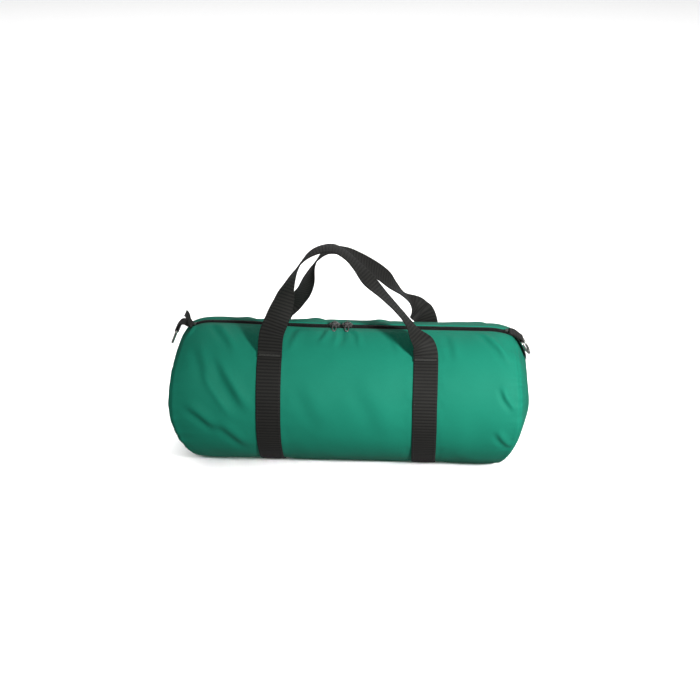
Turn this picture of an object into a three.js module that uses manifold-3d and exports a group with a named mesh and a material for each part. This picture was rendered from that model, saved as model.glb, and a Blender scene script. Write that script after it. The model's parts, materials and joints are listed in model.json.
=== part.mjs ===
// A padded, barrel-shaped carry case for a small telescope tube, in millimetres.
//
// X runs along the barrel (+X is the right end seen from the front), -Y is the front and +Z is up.
// The origin is on the floor, under the middle of the case. A two-way zipper runs along the top, and
// the wall on each side of it is a lip that folds outward on a line where the wall bends. A webbing
// band goes round the barrel on each side of the middle. The bands carry the two handles, and a D-ring
// hangs in a webbing tab at each end.

import * as THREE from 'three';
import { LoftGeometry } from 'three/addons/geometries/LoftGeometry.js';
import { mergeVertices } from 'three/addons/utils/BufferGeometryUtils.js';
import Module from 'manifold-3d';

const wasm = await Module();
wasm.setup();

// ---- Barrel ----------------------------------------------------------------------------------------
const BARREL_RADIUS = 112;
const AXIS_Z = 107;                 // the barrel's axis: it has settled a little onto its flat underside
const GAP = 0.3;                    // clearance between pieces that lie on each other
const WEBBING = 1.6;                // thickness of one layer of webbing
const SKIN_FLOOR_Z = WEBBING + GAP; // underside of the fabric, which lies on the bands
const SEAM_X = 269;                 // from the middle to the end seam, level with the axis
const BOTTOM_TAPER = 28;            // how much nearer the end seam is at the very bottom
const TOP_TAPER = 9;                // and at the very top
const SHOULDER_START = 0.84;        // share of the half length where the barrel starts to round in
const SHOULDER_DROP = 9;            // how much lower its top is at the end seam
const SIDE_DROP = 0.25;             // the share of that drop below the top half
const DOME = 17;                    // how far the middle of an end panel stands out of its seam
const DOME_POWER = 3;
const TUBE_STATIONS = [SHOULDER_START, 0.92, 0.97, 1]; // shares of the half length with a ring of points
const DOME_STATIONS = [0, 0.4, 0.7, 0.85, 0.909];      // shares of the end panel's radius, likewise

// Wall layers as [outer, inner] offsets from the outside of the fabric.
const SHELL = [0, -1.5];
const FOAM = [-1.8, -9.8];
const LINING = [-10.1, -11.1];
const BINDING = [-11.4, -12.4];
const BINDING_STATIONS = [0.92, 0.97]; // the shares of the half length that the seam binding covers

// How far short of the end seams each layer of the barrel stops, clear of the same layer's end panel.
const SHELL_INSET = 2.1;
const FOAM_INSET = 10.1;
const LINING_INSET = 7.6;

// ---- Mouth and lips --------------------------------------------------------------------------------
const MOUTH_X = 205;                // half the length of the mouth
const HINGE_ANGLE = 42;             // degrees from the top down to the line where a lip folds
const SPLIT_ANGLE = 0.12;           // half the clearance on that line, in degrees
const LIP_CLEARANCE = 0.2;          // degrees that a lip keeps from the tape and from the other lip
const STEP = 6;                     // degrees between the flats that the round wall is made of
const COARSE_STEP = 12;             // the same, for the end panels and the lining
const ROUND_SEGMENTS = 6;           // straight pieces in a quarter or more of a small round outline

// ---- Zipper ----------------------------------------------------------------------------------------
const TAPE_EDGE = 4.5;              // degrees from the top to the edge of the fabric beside the tape
const TAPE_INNER = 1.75;            // degrees to the tape's inner edge
const TAPE_LAYER = [-0.5, -1.3];
const COIL_ANGLES = [0.1, 1.55];
const COIL_LAYER = [1.4, -1.0];
const ZIP_LENGTH = 2 * (MOUTH_X - 1);
const ZIP_END_X = 254;              // where the zipper goes under the ring tab
const ZIP_END_WIDTH = 17.2;
const ZIP_END_THICKNESS = 1.2;
const TOP_LINE_STEPS = 8;           // straight pieces in the curved end of the zipper
const STOP_LENGTH = 4;
const STOP_WIDTH = 6.5;
const STOP_HEIGHT = 1.4;
const STOP_INSET = 6;               // from the end of the zipper to the middle of the stop
const SLIDER_LENGTH = 17;
const SLIDER_WIDTH = 11;
const LEFT_SLIDER_X = -24;
const RIGHT_SLIDER_X = -4;
const PLATE_BOTTOM = 1.7;           // underside of the slider's top plate, above the skin
const PLATE = 1.5;
const FLANGE = 1.8;                 // thickness of the flange on the slider's front edge
const FLANGE_BOTTOM = -0.1;
const CROWN_RISE = 3.1;             // from the top plate to the middle of the crown's bar
const CROWN_HALF_LENGTH = 6;
const CROWN_HALF_OPENING = 4;
const CROWN_BAR = 0.9;              // half the height of the crown's bar
const CROWN_CHAMFER = 1.5;
const CROWN_WIDTH = 1.8;
const CROWN_SINK = 0.3;             // how deep its feet go into the top plate
const PULL_TILT = 15;               // degrees below level that a pull lies, on the front slope
const PULL_LENGTH = 25;
const PULL_THICKNESS = 1.2;
const PULL_NECK = 1.4;              // half the width of a pull at its eye
const PULL_HALF_WIDTH = 3.4;
const PULL_WIDE_FROM = 9;           // from the bar to where the pull has its full width
const PULL_EYE_INNER = 1.6;
const PULL_EYE_OUTER = 2.7;
const PULL_EYE_WIDTH = 2.4;

// ---- Webbing ---------------------------------------------------------------------------------------
const BAND_X = 121;                 // from the middle of the case to the middle of each band
const BAND_WIDTH = 38;
const BAND_TOP = 42.8;              // degrees from the top to the upper edge of a band
const TACK_ANGLES = [37.4, 41.4];   // the stitched patch that fastens a handle, in degrees
const HANDLE_ANGLE = 36;            // degrees from the top to the line where a handle bends
const HANDLE_THICKNESS = 1.8;
const HANDLE_OFFSET = 1.2;
const HANDLE_STEPS = 3;             // flats between one station of a handle and the next

// ---- Rings -----------------------------------------------------------------------------------------
const TAB_WIDTH = 25;
const TAB_THICKNESS = 3.2;
const EYE_BORE = 2.4;
const EYE_RADIUS = 3.9;
const RING_WIRE = 2;                // radius of the wire
const RING_HALF_WIDTH = 15.5;       // from the middle to the centre line of the wire
const RING_DEPTH = 26;              // from the bar to the far end, on the centre line
const RING_CORNER = 2.5;            // radius of the bend at each end of the bar
const RING_STEPS = 32;
const RING_SIDES = 6;
const RIGHT_EYE = [271.2, 202.4];   // [x, z]
const LEFT_EYE = [-275.5, 209.5];
const RIGHT_RING_TILT = -57;        // degrees above level, in the plane of X and Z
const LEFT_RING_TILT = -112;
const RIGHT_TAB = [[254.6, 216], [260, 213.9], [265.4, 210.4]]; // each tab's line, up to its eye
const LEFT_TAB = [[-254.6, 216], [-261, 219.5], [-268, 221], [-273.5, 216.5]];
const TAIL_THICKNESS = 1.3;
const RIGHT_TAIL = [[270.1, 198.6], [273.6, 190.2], [277.1, 182], [280.2, 173.5]];
const LEFT_TAIL = [[-257.2, 219], [-257.6, 226], [-259, 231.5], [-262.5, 235]];

const FABRIC = { color: 0x2a9678, roughness: 0.72, metalness: 0 };
const PADDING = { color: 0xd9d7cf, roughness: 0.95, metalness: 0 };
const LINER = { color: 0x1b1c1e, roughness: 0.85, metalness: 0 };
const STRAP = { color: 0x322e2a, roughness: 0.8, metalness: 0 };
const NYLON_COIL = { color: 0x151515, roughness: 0.45, metalness: 0 };
const BLACK_METAL = { color: 0x1d1d1f, roughness: 0.35, metalness: 0.9 };
const STEEL = { color: 0xc9cacb, roughness: 0.22, metalness: 1 };

const root = new THREE.Group();
const radians = THREE.MathUtils.degToRad;

function add(name, geometry, finish) {
  const mesh = new THREE.Mesh(facingOut(geometry), new THREE.MeshStandardMaterial(finish));
  mesh.name = name;
  root.add(mesh);
}

// ---- Geometry helpers ------------------------------------------------------------------------------

// Keeps only the positions, with the shared vertices merged and the faces that this closes up left out.
function welded(geometry) {
  const plain = new THREE.BufferGeometry();
  plain.setAttribute('position', geometry.getAttribute('position'));
  plain.setIndex(geometry.getIndex());
  const merged = mergeVertices(plain, 1e-4);
  const corners = merged.getIndex().array;
  const kept = [];
  for (let i = 0; i < corners.length; i += 3) {
    const [a, b, c] = corners.slice(i, i + 3);
    if (a !== b && b !== c && c !== a) kept.push(a, b, c);
  }
  merged.setIndex(kept);
  return merged;
}

// Turns every face round if the solid is inside out, which its signed volume shows.
function facingOut(geometry) {
  const solid = welded(geometry);
  const place = solid.getAttribute('position');
  const index = solid.getIndex().array;
  const corners = [new THREE.Vector3(), new THREE.Vector3(), new THREE.Vector3()];
  let volume = 0;
  for (let i = 0; i < index.length; i += 3) {
    corners.forEach((corner, k) => corner.fromBufferAttribute(place, index[i + k]));
    volume += corners[0].dot(corners[1].clone().cross(corners[2]));
  }
  if (volume < 0) {
    for (let i = 0; i < index.length; i += 3) {
      [index[i + 1], index[i + 2]] = [index[i + 2], index[i + 1]];
    }
  }
  return solid;
}

function toSolid(geometry) {
  const closed = facingOut(geometry);
  const vertProperties = new Float32Array(closed.getAttribute('position').array);
  const triVerts = new Uint32Array(closed.getIndex().array);
  return new wasm.Manifold(new wasm.Mesh({ numProp: 3, vertProperties, triVerts }));
}

function toGeometry(solid) {
  const { vertProperties, triVerts } = solid.getMesh();
  const geometry = new THREE.BufferGeometry();
  geometry.setAttribute('position', new THREE.BufferAttribute(vertProperties, 3));
  geometry.setIndex(new THREE.BufferAttribute(triVerts, 1));
  return geometry;
}

function outline(points) {
  return new THREE.Shape(points.map(([a, b]) => new THREE.Vector2(a, b)));
}

function extruded(shape, depth) {
  return new THREE.ExtrudeGeometry(shape, { depth, bevelEnabled: false, curveSegments: ROUND_SEGMENTS });
}

// Extrudes an outline drawn in X and Z by width, centred on y = 0.
function acrossY(shape, width) {
  const geometry = extruded(shape, width);
  geometry.rotateX(Math.PI / 2);
  geometry.translate(0, width / 2, 0);
  return geometry;
}

// Extrudes an outline drawn in Y and Z by length, centred on x = 0.
function alongX(shape, length) {
  const geometry = extruded(shape, length);
  geometry.rotateX(Math.PI / 2);
  geometry.rotateZ(Math.PI / 2);
  geometry.translate(-length / 2, 0, 0);
  return geometry;
}

// ---- The barrel's surface --------------------------------------------------------------------------

// Where the end seam is: nearer the middle towards the bottom and the top. The share is how far out
// from the axis the point is, from 0 to 1 at the seam itself.
function seamX(angle, share = 1) {
  const depth = Math.max(0, -share * Math.cos(radians(angle)));
  const height = Math.max(0, share * Math.cos(radians(angle)));
  return SEAM_X - BOTTOM_TAPER * depth ** 1.5 - TOP_TAPER * height ** 3;
}

// A point of the wall: angle in degrees from the top towards the front, offset outward from the
// fabric's outside, and along from -1 at the left end seam to 1 at the right one. The wall stops
// endInset short of the seams.
function wallPoint(angle, offset, along, endInset = 0) {
  const seam = seamX(angle);
  const x = Math.min(Math.abs(along) * seam, seam - endInset);
  const rounding = Math.max(0, (x / seam - SHOULDER_START) / (1 - SHOULDER_START));
  const drop = SHOULDER_DROP * (SIDE_DROP + (1 - SIDE_DROP) * Math.max(0, Math.cos(radians(angle))));
  const scale = 1 - rounding ** 2 * drop / BARREL_RADIUS;
  const radius = BARREL_RADIUS + offset;
  const y = -radius * Math.sin(radians(angle));
  const rise = Math.max(radius * Math.cos(radians(angle)), SKIN_FLOOR_Z - offset - AXIS_Z);
  return new THREE.Vector3(Math.sign(along) * x, y * scale, AXIS_Z + rise * scale);
}

// The angles from one angle to another, through every whole step between them.
function angleSteps(from, to) {
  const inner = [];
  for (let a = Math.ceil((from + 0.5) / STEP) * STEP; a < to - 0.5; a += STEP) inner.push(a);
  return [from, ...inner, to];
}

// A straight layer of wall between two angles.
function wallLayer([outer, inner], from, to, halfLength) {
  const sections = angleSteps(from, to).map((angle) => {
    const corner = (offset, side) => wallPoint(angle, offset, 0).setX(side * halfLength);
    return [corner(inner, -1), corner(inner, 1), corner(outer, 1), corner(outer, -1)];
  });
  return new LoftGeometry(sections, { capStart: true, capEnd: true });
}

// A layer that goes all the way round the barrel, up to endInset short of the end seams.
function barrelTube([outer, inner], endInset, step) {
  const stations = [...TUBE_STATIONS.map((s) => -s).reverse(), ...TUBE_STATIONS];
  const sections = [];
  for (let angle = 0; angle <= 360; angle += step) {
    const outside = stations.map((along) => wallPoint(angle, outer, along, endInset));
    const inside = stations.map((along) => wallPoint(angle, inner, along, endInset)).reverse();
    sections.push([...outside, ...inside]);
  }
  return new LoftGeometry(sections);
}

// The wedge that the mouth takes out of the barrel, from its axis outward.
function mouthWedge() {
  const reach = 2 * BARREL_RADIUS;
  const half = radians(HINGE_ANGLE + SPLIT_ANGLE);
  const side = [reach * Math.sin(half), AXIS_Z + reach * Math.cos(half)];
  const wedge = outline([[0, AXIS_Z], side, [0, AXIS_Z + reach], [-side[0], side[1]]]);
  return alongX(wedge, 2 * MOUTH_X);
}

function barrelLayer(layer, endInset, step) {
  const tube = toSolid(barrelTube(layer, endInset, step));
  return toGeometry(tube.subtract(toSolid(mouthWedge())));
}

// One layer of a domed end panel: rings from its middle out along one face and back along the other.
function endLayer([outer, inner], rimOffset, side) {
  const rimSpread = (BARREL_RADIUS + rimOffset) / BARREL_RADIUS;
  const ring = (spread, inset) => {
    const points = [];
    for (let angle = 0; angle < 360; angle += COARSE_STEP) {
      const rim = wallPoint(angle, rimOffset, 1);
      const share = spread / rimSpread;
      const x = seamX(angle, spread) + DOME * (1 - spread ** DOME_POWER) + inset;
      points.push(new THREE.Vector3(side * x, rim.y * share, AXIS_Z + (rim.z - AXIS_Z) * share));
    }
    return points;
  };
  const spreads = [...DOME_STATIONS.filter((spread) => spread < rimSpread - 0.01), rimSpread];
  const front = spreads.map((spread) => ring(spread, outer));
  const back = spreads.map((spread) => ring(spread, inner)).reverse();
  return new LoftGeometry([...front, ...back]);
}

// The tape that binds the raw seam inside each end, all the way round.
function seamBinding(side) {
  const sections = [];
  const [near, far] = BINDING_STATIONS.map((share) => side * share);
  for (let angle = 0; angle <= 360; angle += COARSE_STEP) {
    const [outer, inner] = BINDING;
    sections.push([
      wallPoint(angle, outer, far), wallPoint(angle, outer, near),
      wallPoint(angle, inner, near), wallPoint(angle, inner, far),
    ]);
  }
  return new LoftGeometry(sections);
}

// ---- Zipper ----------------------------------------------------------------------------------------

function zipStrip(layer, from, to) {
  return wallLayer(layer, from, to, ZIP_LENGTH / 2);
}

// The top of the case in the plane y = 0, raised by a height, from one x to another.
function topLine(height, fromX, toX) {
  const points = [];
  for (let i = 0; i <= TOP_LINE_STEPS; i += 1) {
    const x = fromX + (toX - fromX) * i / TOP_LINE_STEPS;
    points.push([x, wallPoint(0, height, x / seamX(0)).z]);
  }
  return points;
}

// The zipper beyond the mouth, where both its sides lie closed over the end of the barrel.
function zipEnd(side) {
  const from = MOUTH_X + GAP;
  const under = topLine(GAP, from, ZIP_END_X);
  const over = topLine(GAP + ZIP_END_THICKNESS, from, ZIP_END_X).reverse();
  const shape = outline([...under, ...over].map(([x, z]) => [side * x, z]));
  return acrossY(shape, ZIP_END_WIDTH);
}

// The crimped stop that keeps a slider from running off the end of the coils.
function zipStop(side) {
  const x = ZIP_END_X - STOP_INSET;
  const z = wallPoint(0, GAP + ZIP_END_THICKNESS + GAP, (x - STOP_LENGTH / 2) / seamX(0)).z;
  const block = new THREE.BoxGeometry(STOP_LENGTH, STOP_WIDTH, STOP_HEIGHT);
  return block.translate(side * x, 0, z + STOP_HEIGHT / 2);
}

// A slider: a top plate with a flange down its front edge, and a crown that holds the pull.
function slider(x) {
  const top = AXIS_Z + BARREL_RADIUS;
  const half = SLIDER_WIDTH / 2;
  const plateTop = PLATE_BOTTOM + PLATE;
  const profile = outline([
    [-half, FLANGE_BOTTOM], [FLANGE - half, FLANGE_BOTTOM], [FLANGE - half, PLATE_BOTTOM],
    [half, PLATE_BOTTOM], [half, plateTop], [-half, plateTop],
  ]);
  const archTop = CROWN_RISE + CROWN_BAR;
  const archUnder = CROWN_RISE - CROWN_BAR;
  const shoulder = CROWN_HALF_LENGTH - CROWN_CHAMFER;
  const crown = outline([
    [-CROWN_HALF_LENGTH, -CROWN_SINK], [-CROWN_HALF_LENGTH, archTop - CROWN_CHAMFER],
    [-shoulder, archTop], [shoulder, archTop],
    [CROWN_HALF_LENGTH, archTop - CROWN_CHAMFER], [CROWN_HALF_LENGTH, -CROWN_SINK],
    [CROWN_HALF_OPENING, -CROWN_SINK], [CROWN_HALF_OPENING, archUnder],
    [-CROWN_HALF_OPENING, archUnder], [-CROWN_HALF_OPENING, -CROWN_SINK],
  ]);
  const body = toSolid(alongX(profile, SLIDER_LENGTH));
  const arch = toSolid(acrossY(crown, CROWN_WIDTH).translate(0, 0, plateTop));
  return toGeometry(body.add(arch)).translate(x, 0, top);
}

// A pull: a short eye round the crown's bar, and a plate that widens towards its rounded end.
function pull(x) {
  const eye = new THREE.Shape().absarc(0, 0, PULL_EYE_OUTER, 0, 2 * Math.PI);
  eye.holes.push(new THREE.Path().absarc(0, 0, PULL_EYE_INNER, 0, 2 * Math.PI, true));
  const start = (PULL_EYE_INNER + PULL_EYE_OUTER) / 2; // inside the eye's wall, so that the two join
  const roundFrom = PULL_LENGTH - PULL_HALF_WIDTH;
  const tab = new THREE.Shape();
  tab.moveTo(-PULL_NECK, start);
  tab.lineTo(PULL_NECK, start);
  tab.lineTo(PULL_HALF_WIDTH, PULL_WIDE_FROM);
  tab.lineTo(PULL_HALF_WIDTH, roundFrom);
  tab.absarc(0, roundFrom, PULL_HALF_WIDTH, 0, Math.PI);
  tab.lineTo(-PULL_HALF_WIDTH, PULL_WIDE_FROM);
  const flat = extruded(tab, PULL_THICKNESS);
  flat.translate(0, 0, -PULL_THICKNESS / 2);
  flat.rotateZ(Math.PI);
  const joined = toGeometry(toSolid(alongX(eye, PULL_EYE_WIDTH)).add(toSolid(flat)));
  joined.rotateX(radians(PULL_TILT));
  return joined.translate(x, 0, AXIS_Z + BARREL_RADIUS + PLATE_BOTTOM + PLATE + CROWN_RISE);
}

// ---- Webbing ---------------------------------------------------------------------------------------

// A flat strap laid round the barrel between two angles.
function band(x, from, to) {
  const layer = [GAP + WEBBING, GAP];
  return wallLayer(layer, from, to, BAND_WIDTH / 2).translate(x, 0, 0);
}

// A strap along a curve. Each station is [x, y, z, turn]: the turn is the angle in degrees from X
// towards Y at which the strap's width lies there.
function handle(stations) {
  const curve = new THREE.CatmullRomCurve3(stations.map(([x, y, z]) => new THREE.Vector3(x, y, z)));
  const steps = HANDLE_STEPS * (stations.length - 1);
  const sections = [];
  for (let i = 0; i <= steps; i += 1) {
    const t = i / steps;
    const centre = curve.getPoint(t);
    const along = curve.getTangent(t);
    const station = Math.min(Math.floor(t * (stations.length - 1)), stations.length - 2);
    const share = t * (stations.length - 1) - station;
    const turn = radians(THREE.MathUtils.lerp(stations[station][3], stations[station + 1][3], share));
    const width = new THREE.Vector3(Math.cos(turn), Math.sin(turn), 0);
    width.addScaledVector(along, -width.dot(along)).normalize();
    const normal = along.clone().cross(width).normalize();
    const corner = (w, n) => centre.clone()
      .addScaledVector(width, w * BAND_WIDTH / 2)
      .addScaledVector(normal, n * HANDLE_THICKNESS / 2);
    sections.push([corner(-1, -1), corner(1, -1), corner(1, 1), corner(-1, 1)]);
  }
  return new LoftGeometry(sections, { capStart: true, capEnd: true });
}

// Where a handle leaves its tack, on the front (side 1) or the rear (side -1), or just above that.
function handleRoot(x, side, rise = 0) {
  const point = wallPoint(side * HANDLE_ANGLE, HANDLE_OFFSET, 0);
  return [x, point.y, point.z + rise, 0];
}

const FRONT_HANDLE = [
  handleRoot(-BAND_X, 1),
  handleRoot(-BAND_X, 1, 8),
  [-118, -65, 230, 8],
  [-109, -62, 254, 14],
  [-99, -55, 280, 36],
  [-92, -46, 301, 62],
  [-81, -37, 324, 80],
  [-64, -29, 345, 88],
  [-45, -24, 355, 90],
  [-25, -22, 357, 90],
  [-6, -23, 347, 88],
  [11, -26, 331, 80],
  [30, -32, 310, 66],
  [53, -40, 289, 84],
  [75, -48, 269, 92],
  [92, -55, 251, 88],
  [104, -60, 233, 68],
  [117, -65, 217, 26],
  handleRoot(BAND_X, 1, 8),
  handleRoot(BAND_X, 1),
];

const REAR_HANDLE = [
  handleRoot(-BAND_X, -1),
  handleRoot(-BAND_X, -1, 8),
  [-113, 69, 217, 0],
  [-98, 68, 228, 6],
  [-86, 61, 242, 22],
  [-75, 51, 264, 46],
  [-67, 40, 294, 72],
  [-52, 31, 321, 86],
  [-33, 25, 337, 90],
  [-11, 24, 336, 84],
  [11, 26, 324, 70],
  [36, 31, 306, 64],
  [60, 38, 284, 72],
  [76, 45, 266, 96],
  [90, 52, 247, 100],
  [101, 58, 233, 60],
  [110, 64, 221, 20],
  [115, 65, 217, 16],
  handleRoot(BAND_X, -1, 6),
  handleRoot(BAND_X, -1),
];

// ---- Rings and their tabs --------------------------------------------------------------------------

// A ring tab in the plane of X and Z: a doubled strap with an eye round the ring's bar at its end.
function ringTab(points, [eyeX, eyeZ], tail) {
  const strap = flatStrap([...points, [eyeX, eyeZ]], TAB_THICKNESS);
  const disc = new THREE.Shape().absarc(eyeX, eyeZ, EYE_RADIUS, 0, 2 * Math.PI);
  const bore = new THREE.Shape().absarc(eyeX, eyeZ, EYE_BORE, 0, 2 * Math.PI);
  const solid = strap.add(toSolid(acrossY(disc, TAB_WIDTH))).add(flatStrap(tail, TAIL_THICKNESS));
  return toGeometry(solid.subtract(toSolid(acrossY(bore, TAB_WIDTH + 2 * GAP))));
}

// Webbing as wide as a tab, along a line in X and Z.
function flatStrap(points, thickness) {
  const line = points.map(([x, z]) => new THREE.Vector2(x, z));
  const edge = (sign) => line.map((point, i) => {
    const before = line[Math.max(i - 1, 0)];
    const after = line[Math.min(i + 1, line.length - 1)];
    const along = after.clone().sub(before).normalize();
    const reach = sign * thickness / 2;
    return [point.x - reach * along.y, point.y + reach * along.x];
  });
  return toSolid(acrossY(outline([...edge(-1), ...edge(1).reverse()]), TAB_WIDTH));
}

// A D-ring whose straight bar lies along Y at the eye, reaching out at a tilt in the plane of X and Z.
function dRing([eyeX, eyeZ], tilt) {
  const straight = RING_DEPTH - RING_HALF_WIDTH;
  const corner = RING_CORNER;
  const path = new THREE.Path();
  path.moveTo(0, 0);
  path.lineTo(RING_HALF_WIDTH - corner, 0);
  path.absarc(RING_HALF_WIDTH - corner, corner, corner, -Math.PI / 2, 0);
  path.lineTo(RING_HALF_WIDTH, straight);
  path.absarc(0, straight, RING_HALF_WIDTH, 0, Math.PI);
  path.lineTo(-RING_HALF_WIDTH, corner);
  path.absarc(corner - RING_HALF_WIDTH, corner, corner, Math.PI, 1.5 * Math.PI);
  path.lineTo(0, 0);
  const sections = [];
  for (let i = 0; i <= RING_STEPS; i += 1) {
    const u = (i % RING_STEPS) / RING_STEPS;
    const centre = path.getPointAt(u);
    const along = path.getTangentAt(u);
    const section = [];
    for (let k = 0; k < RING_SIDES; k += 1) {
      const turn = 2 * Math.PI * k / RING_SIDES;
      const out = RING_WIRE * Math.cos(turn);
      section.push(new THREE.Vector3(centre.y - out * along.x, centre.x + out * along.y,
        RING_WIRE * Math.sin(turn)));
    }
    sections.push(section);
  }
  const ring = new LoftGeometry(sections);
  ring.rotateY(-radians(tilt));
  return ring.translate(eyeX, 0, eyeZ);
}

// ---- Assembly --------------------------------------------------------------------------------------

add('barrel_shell', barrelLayer(SHELL, SHELL_INSET, STEP), FABRIC);
add('barrel_foam', barrelLayer(FOAM, FOAM_INSET, STEP), PADDING);
add('barrel_lining', barrelLayer(LINING, LINING_INSET, COARSE_STEP), LINER);

for (const [name, side] of [['left', -1], ['right', 1]]) {
  add(`${name}_end_shell`, endLayer(SHELL, SHELL[0], side), FABRIC);
  add(`${name}_end_foam`, endLayer(FOAM, FOAM[0], side), PADDING);
  add(`${name}_end_lining`, endLayer(LINING, LINING[0], side), LINER);
  add(`${name}_seam_binding`, seamBinding(side), STRAP);
  add(`${name}_zip_end`, zipEnd(side), NYLON_COIL);
  add(`${name}_zip_stop`, zipStop(side), BLACK_METAL);
  add(`${name}_band`, band(side * BAND_X, BAND_TOP, 360 - BAND_TOP), STRAP);
}

for (const [name, side] of [['front', 1], ['rear', -1]]) {
  // The angles run towards the front, so a rear piece has both its limits negated and swapped.
  const between = (near, far) => (side > 0 ? [near, far] : [-far, -near]);
  const lip = (layer, near) => {
    const [from, to] = between(near, HINGE_ANGLE - SPLIT_ANGLE);
    return wallLayer(layer, from, to, MOUTH_X - GAP);
  };
  add(`${name}_lip_shell`, lip(SHELL, TAPE_EDGE + LIP_CLEARANCE), FABRIC);
  add(`${name}_lip_foam`, lip(FOAM, LIP_CLEARANCE), PADDING);
  add(`${name}_lip_lining`, lip(LINING, LIP_CLEARANCE), LINER);
  add(`${name}_zip_tape`, zipStrip(TAPE_LAYER, ...between(TAPE_INNER, TAPE_EDGE)), NYLON_COIL);
  add(`${name}_zip_coil`, zipStrip(COIL_LAYER, ...between(...COIL_ANGLES)), NYLON_COIL);
  add(`${name}_left_tack`, band(-BAND_X, ...between(...TACK_ANGLES)), STRAP);
  add(`${name}_right_tack`, band(BAND_X, ...between(...TACK_ANGLES)), STRAP);
}

add('front_handle', handle(FRONT_HANDLE), STRAP);
add('rear_handle', handle(REAR_HANDLE), STRAP);

add('left_slider', slider(LEFT_SLIDER_X), BLACK_METAL);
add('right_slider', slider(RIGHT_SLIDER_X), BLACK_METAL);
add('left_pull', pull(LEFT_SLIDER_X), BLACK_METAL);
add('right_pull', pull(RIGHT_SLIDER_X), BLACK_METAL);

add('left_ring_tab', ringTab(LEFT_TAB, LEFT_EYE, LEFT_TAIL), STRAP);
add('right_ring_tab', ringTab(RIGHT_TAB, RIGHT_EYE, RIGHT_TAIL), STRAP);
add('left_d_ring', dRing(LEFT_EYE, LEFT_RING_TILT), STEEL);
add('right_d_ring', dRing(RIGHT_EYE, RIGHT_RING_TILT), STEEL);

export default root;
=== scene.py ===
"""Looks of a padded, barrel-shaped telescope carry case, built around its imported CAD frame.

Everything is in metres, in the frame's own axes: X runs along the barrel, -Y is the front, +Z is up.
A place on the barrel is an angle from the top towards the front, an x, and an offset outward from the
outside of the fabric. Every soft layer, strap and stitch is placed that way, so they all follow the
same wrinkled surface.
"""

import json
import math

import bmesh
import bpy
import numpy as np
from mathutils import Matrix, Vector


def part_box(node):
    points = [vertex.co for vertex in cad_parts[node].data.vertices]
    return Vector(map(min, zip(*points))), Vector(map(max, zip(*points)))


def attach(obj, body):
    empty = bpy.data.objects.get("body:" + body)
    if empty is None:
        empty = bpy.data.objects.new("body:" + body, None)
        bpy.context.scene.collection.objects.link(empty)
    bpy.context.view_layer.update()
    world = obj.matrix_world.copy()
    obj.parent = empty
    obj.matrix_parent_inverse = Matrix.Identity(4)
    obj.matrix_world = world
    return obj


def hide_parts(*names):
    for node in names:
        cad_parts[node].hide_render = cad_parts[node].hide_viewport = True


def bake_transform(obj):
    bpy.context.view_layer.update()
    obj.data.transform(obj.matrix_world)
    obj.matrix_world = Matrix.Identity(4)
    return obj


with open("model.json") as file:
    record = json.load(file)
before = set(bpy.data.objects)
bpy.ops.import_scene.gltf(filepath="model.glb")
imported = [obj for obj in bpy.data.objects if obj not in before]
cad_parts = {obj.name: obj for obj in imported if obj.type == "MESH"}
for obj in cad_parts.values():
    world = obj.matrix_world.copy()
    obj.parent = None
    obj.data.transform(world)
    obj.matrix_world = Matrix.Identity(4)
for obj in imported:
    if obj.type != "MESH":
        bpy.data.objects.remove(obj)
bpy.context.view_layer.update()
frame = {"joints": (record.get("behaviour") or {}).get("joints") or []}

MM = 0.001
JOINTS = {joint["name"]: joint for joint in frame["joints"]}

# ---- Driving dimensions, from the frame where it holds them ---------------------------------------
FOLD_ANGLE = math.radians(42)
FOLD_PLACE = JOINTS["front_lip_fold"]["pos_m"]
SHELL_LOW, SHELL_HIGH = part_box("barrel_shell")
RADIUS = SHELL_HIGH.y
FLOOR_Z = SHELL_LOW.z
AXIS_Z = FOLD_PLACE[2] + FOLD_PLACE[1] / math.tan(FOLD_ANGLE)
SEAM_X = SHELL_HIGH.x + 2.1 * MM
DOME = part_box("right_end_shell")[1].x - SEAM_X
BOTTOM_TAPER = 28 * MM
TOP_TAPER = 9 * MM
SHOULDER_START = 0.84
SHOULDER_DROP = 9 * MM
SIDE_DROP = 0.0

MOUTH_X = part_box("front_lip_shell")[1].x
ZIP_END_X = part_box("right_zip_end")[1].x
TAPE_EDGE = 4.5
BAND_LOW, BAND_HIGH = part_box("right_band")
BAND_X = (BAND_LOW.x + BAND_HIGH.x) / 2
BAND_WIDTH = BAND_HIGH.x - BAND_LOW.x
WEBBING = 1.6 * MM
RIB_PITCH = 5.2 * MM
GAP = 0.3 * MM
COVER_LAYER = (0, -1.2 * MM)         # outside and inside of each layer, outward from the fabric
PAD_LAYER = (-1.6 * MM, -9.6 * MM)
LINER_LAYER = (-10.1 * MM, -10.8 * MM)
BAND_TOP_ANGLE = 37.3                # degrees from the top to a band's end, under the handle
BAR_TACK_ANGLES = (38.4, 40.6)
PULL_TILT = 15                       # degrees below level that a pull lies
SIDES = {"left": -1, "right": 1}
FACES = {"front": 1, "rear": -1}


# ---- Numbers: smooth steps and repeatable noise ---------------------------------------------------

def smooth(value, start, end):
    """0 before start, 1 after end, with no corner in between."""
    t = np.clip((np.asarray(value, float) - start) / (end - start), 0, 1)
    return t * t * (3 - 2 * t)


LATTICE = np.random.default_rng(7).uniform(-1, 1, (128, 128))


def noise(u, v, seed=0):
    """Smooth noise from -1 to 1 whose bumps are one unit apart in u and v."""
    u = np.asarray(u, float) + 17.3 * seed
    v = np.asarray(v, float) + 9.7 * seed
    i, j = np.floor(u).astype(int), np.floor(v).astype(int)
    a, b = u - i, v - j
    a, b = a * a * (3 - 2 * a), b * b * (3 - 2 * b)

    def at(di, dj):
        return LATTICE[(i + di) % 128, (j + dj) % 128]

    near = at(0, 0) * (1 - a) + at(1, 0) * a
    far = at(0, 1) * (1 - a) + at(1, 1) * a
    return near * (1 - b) + far * b


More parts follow.
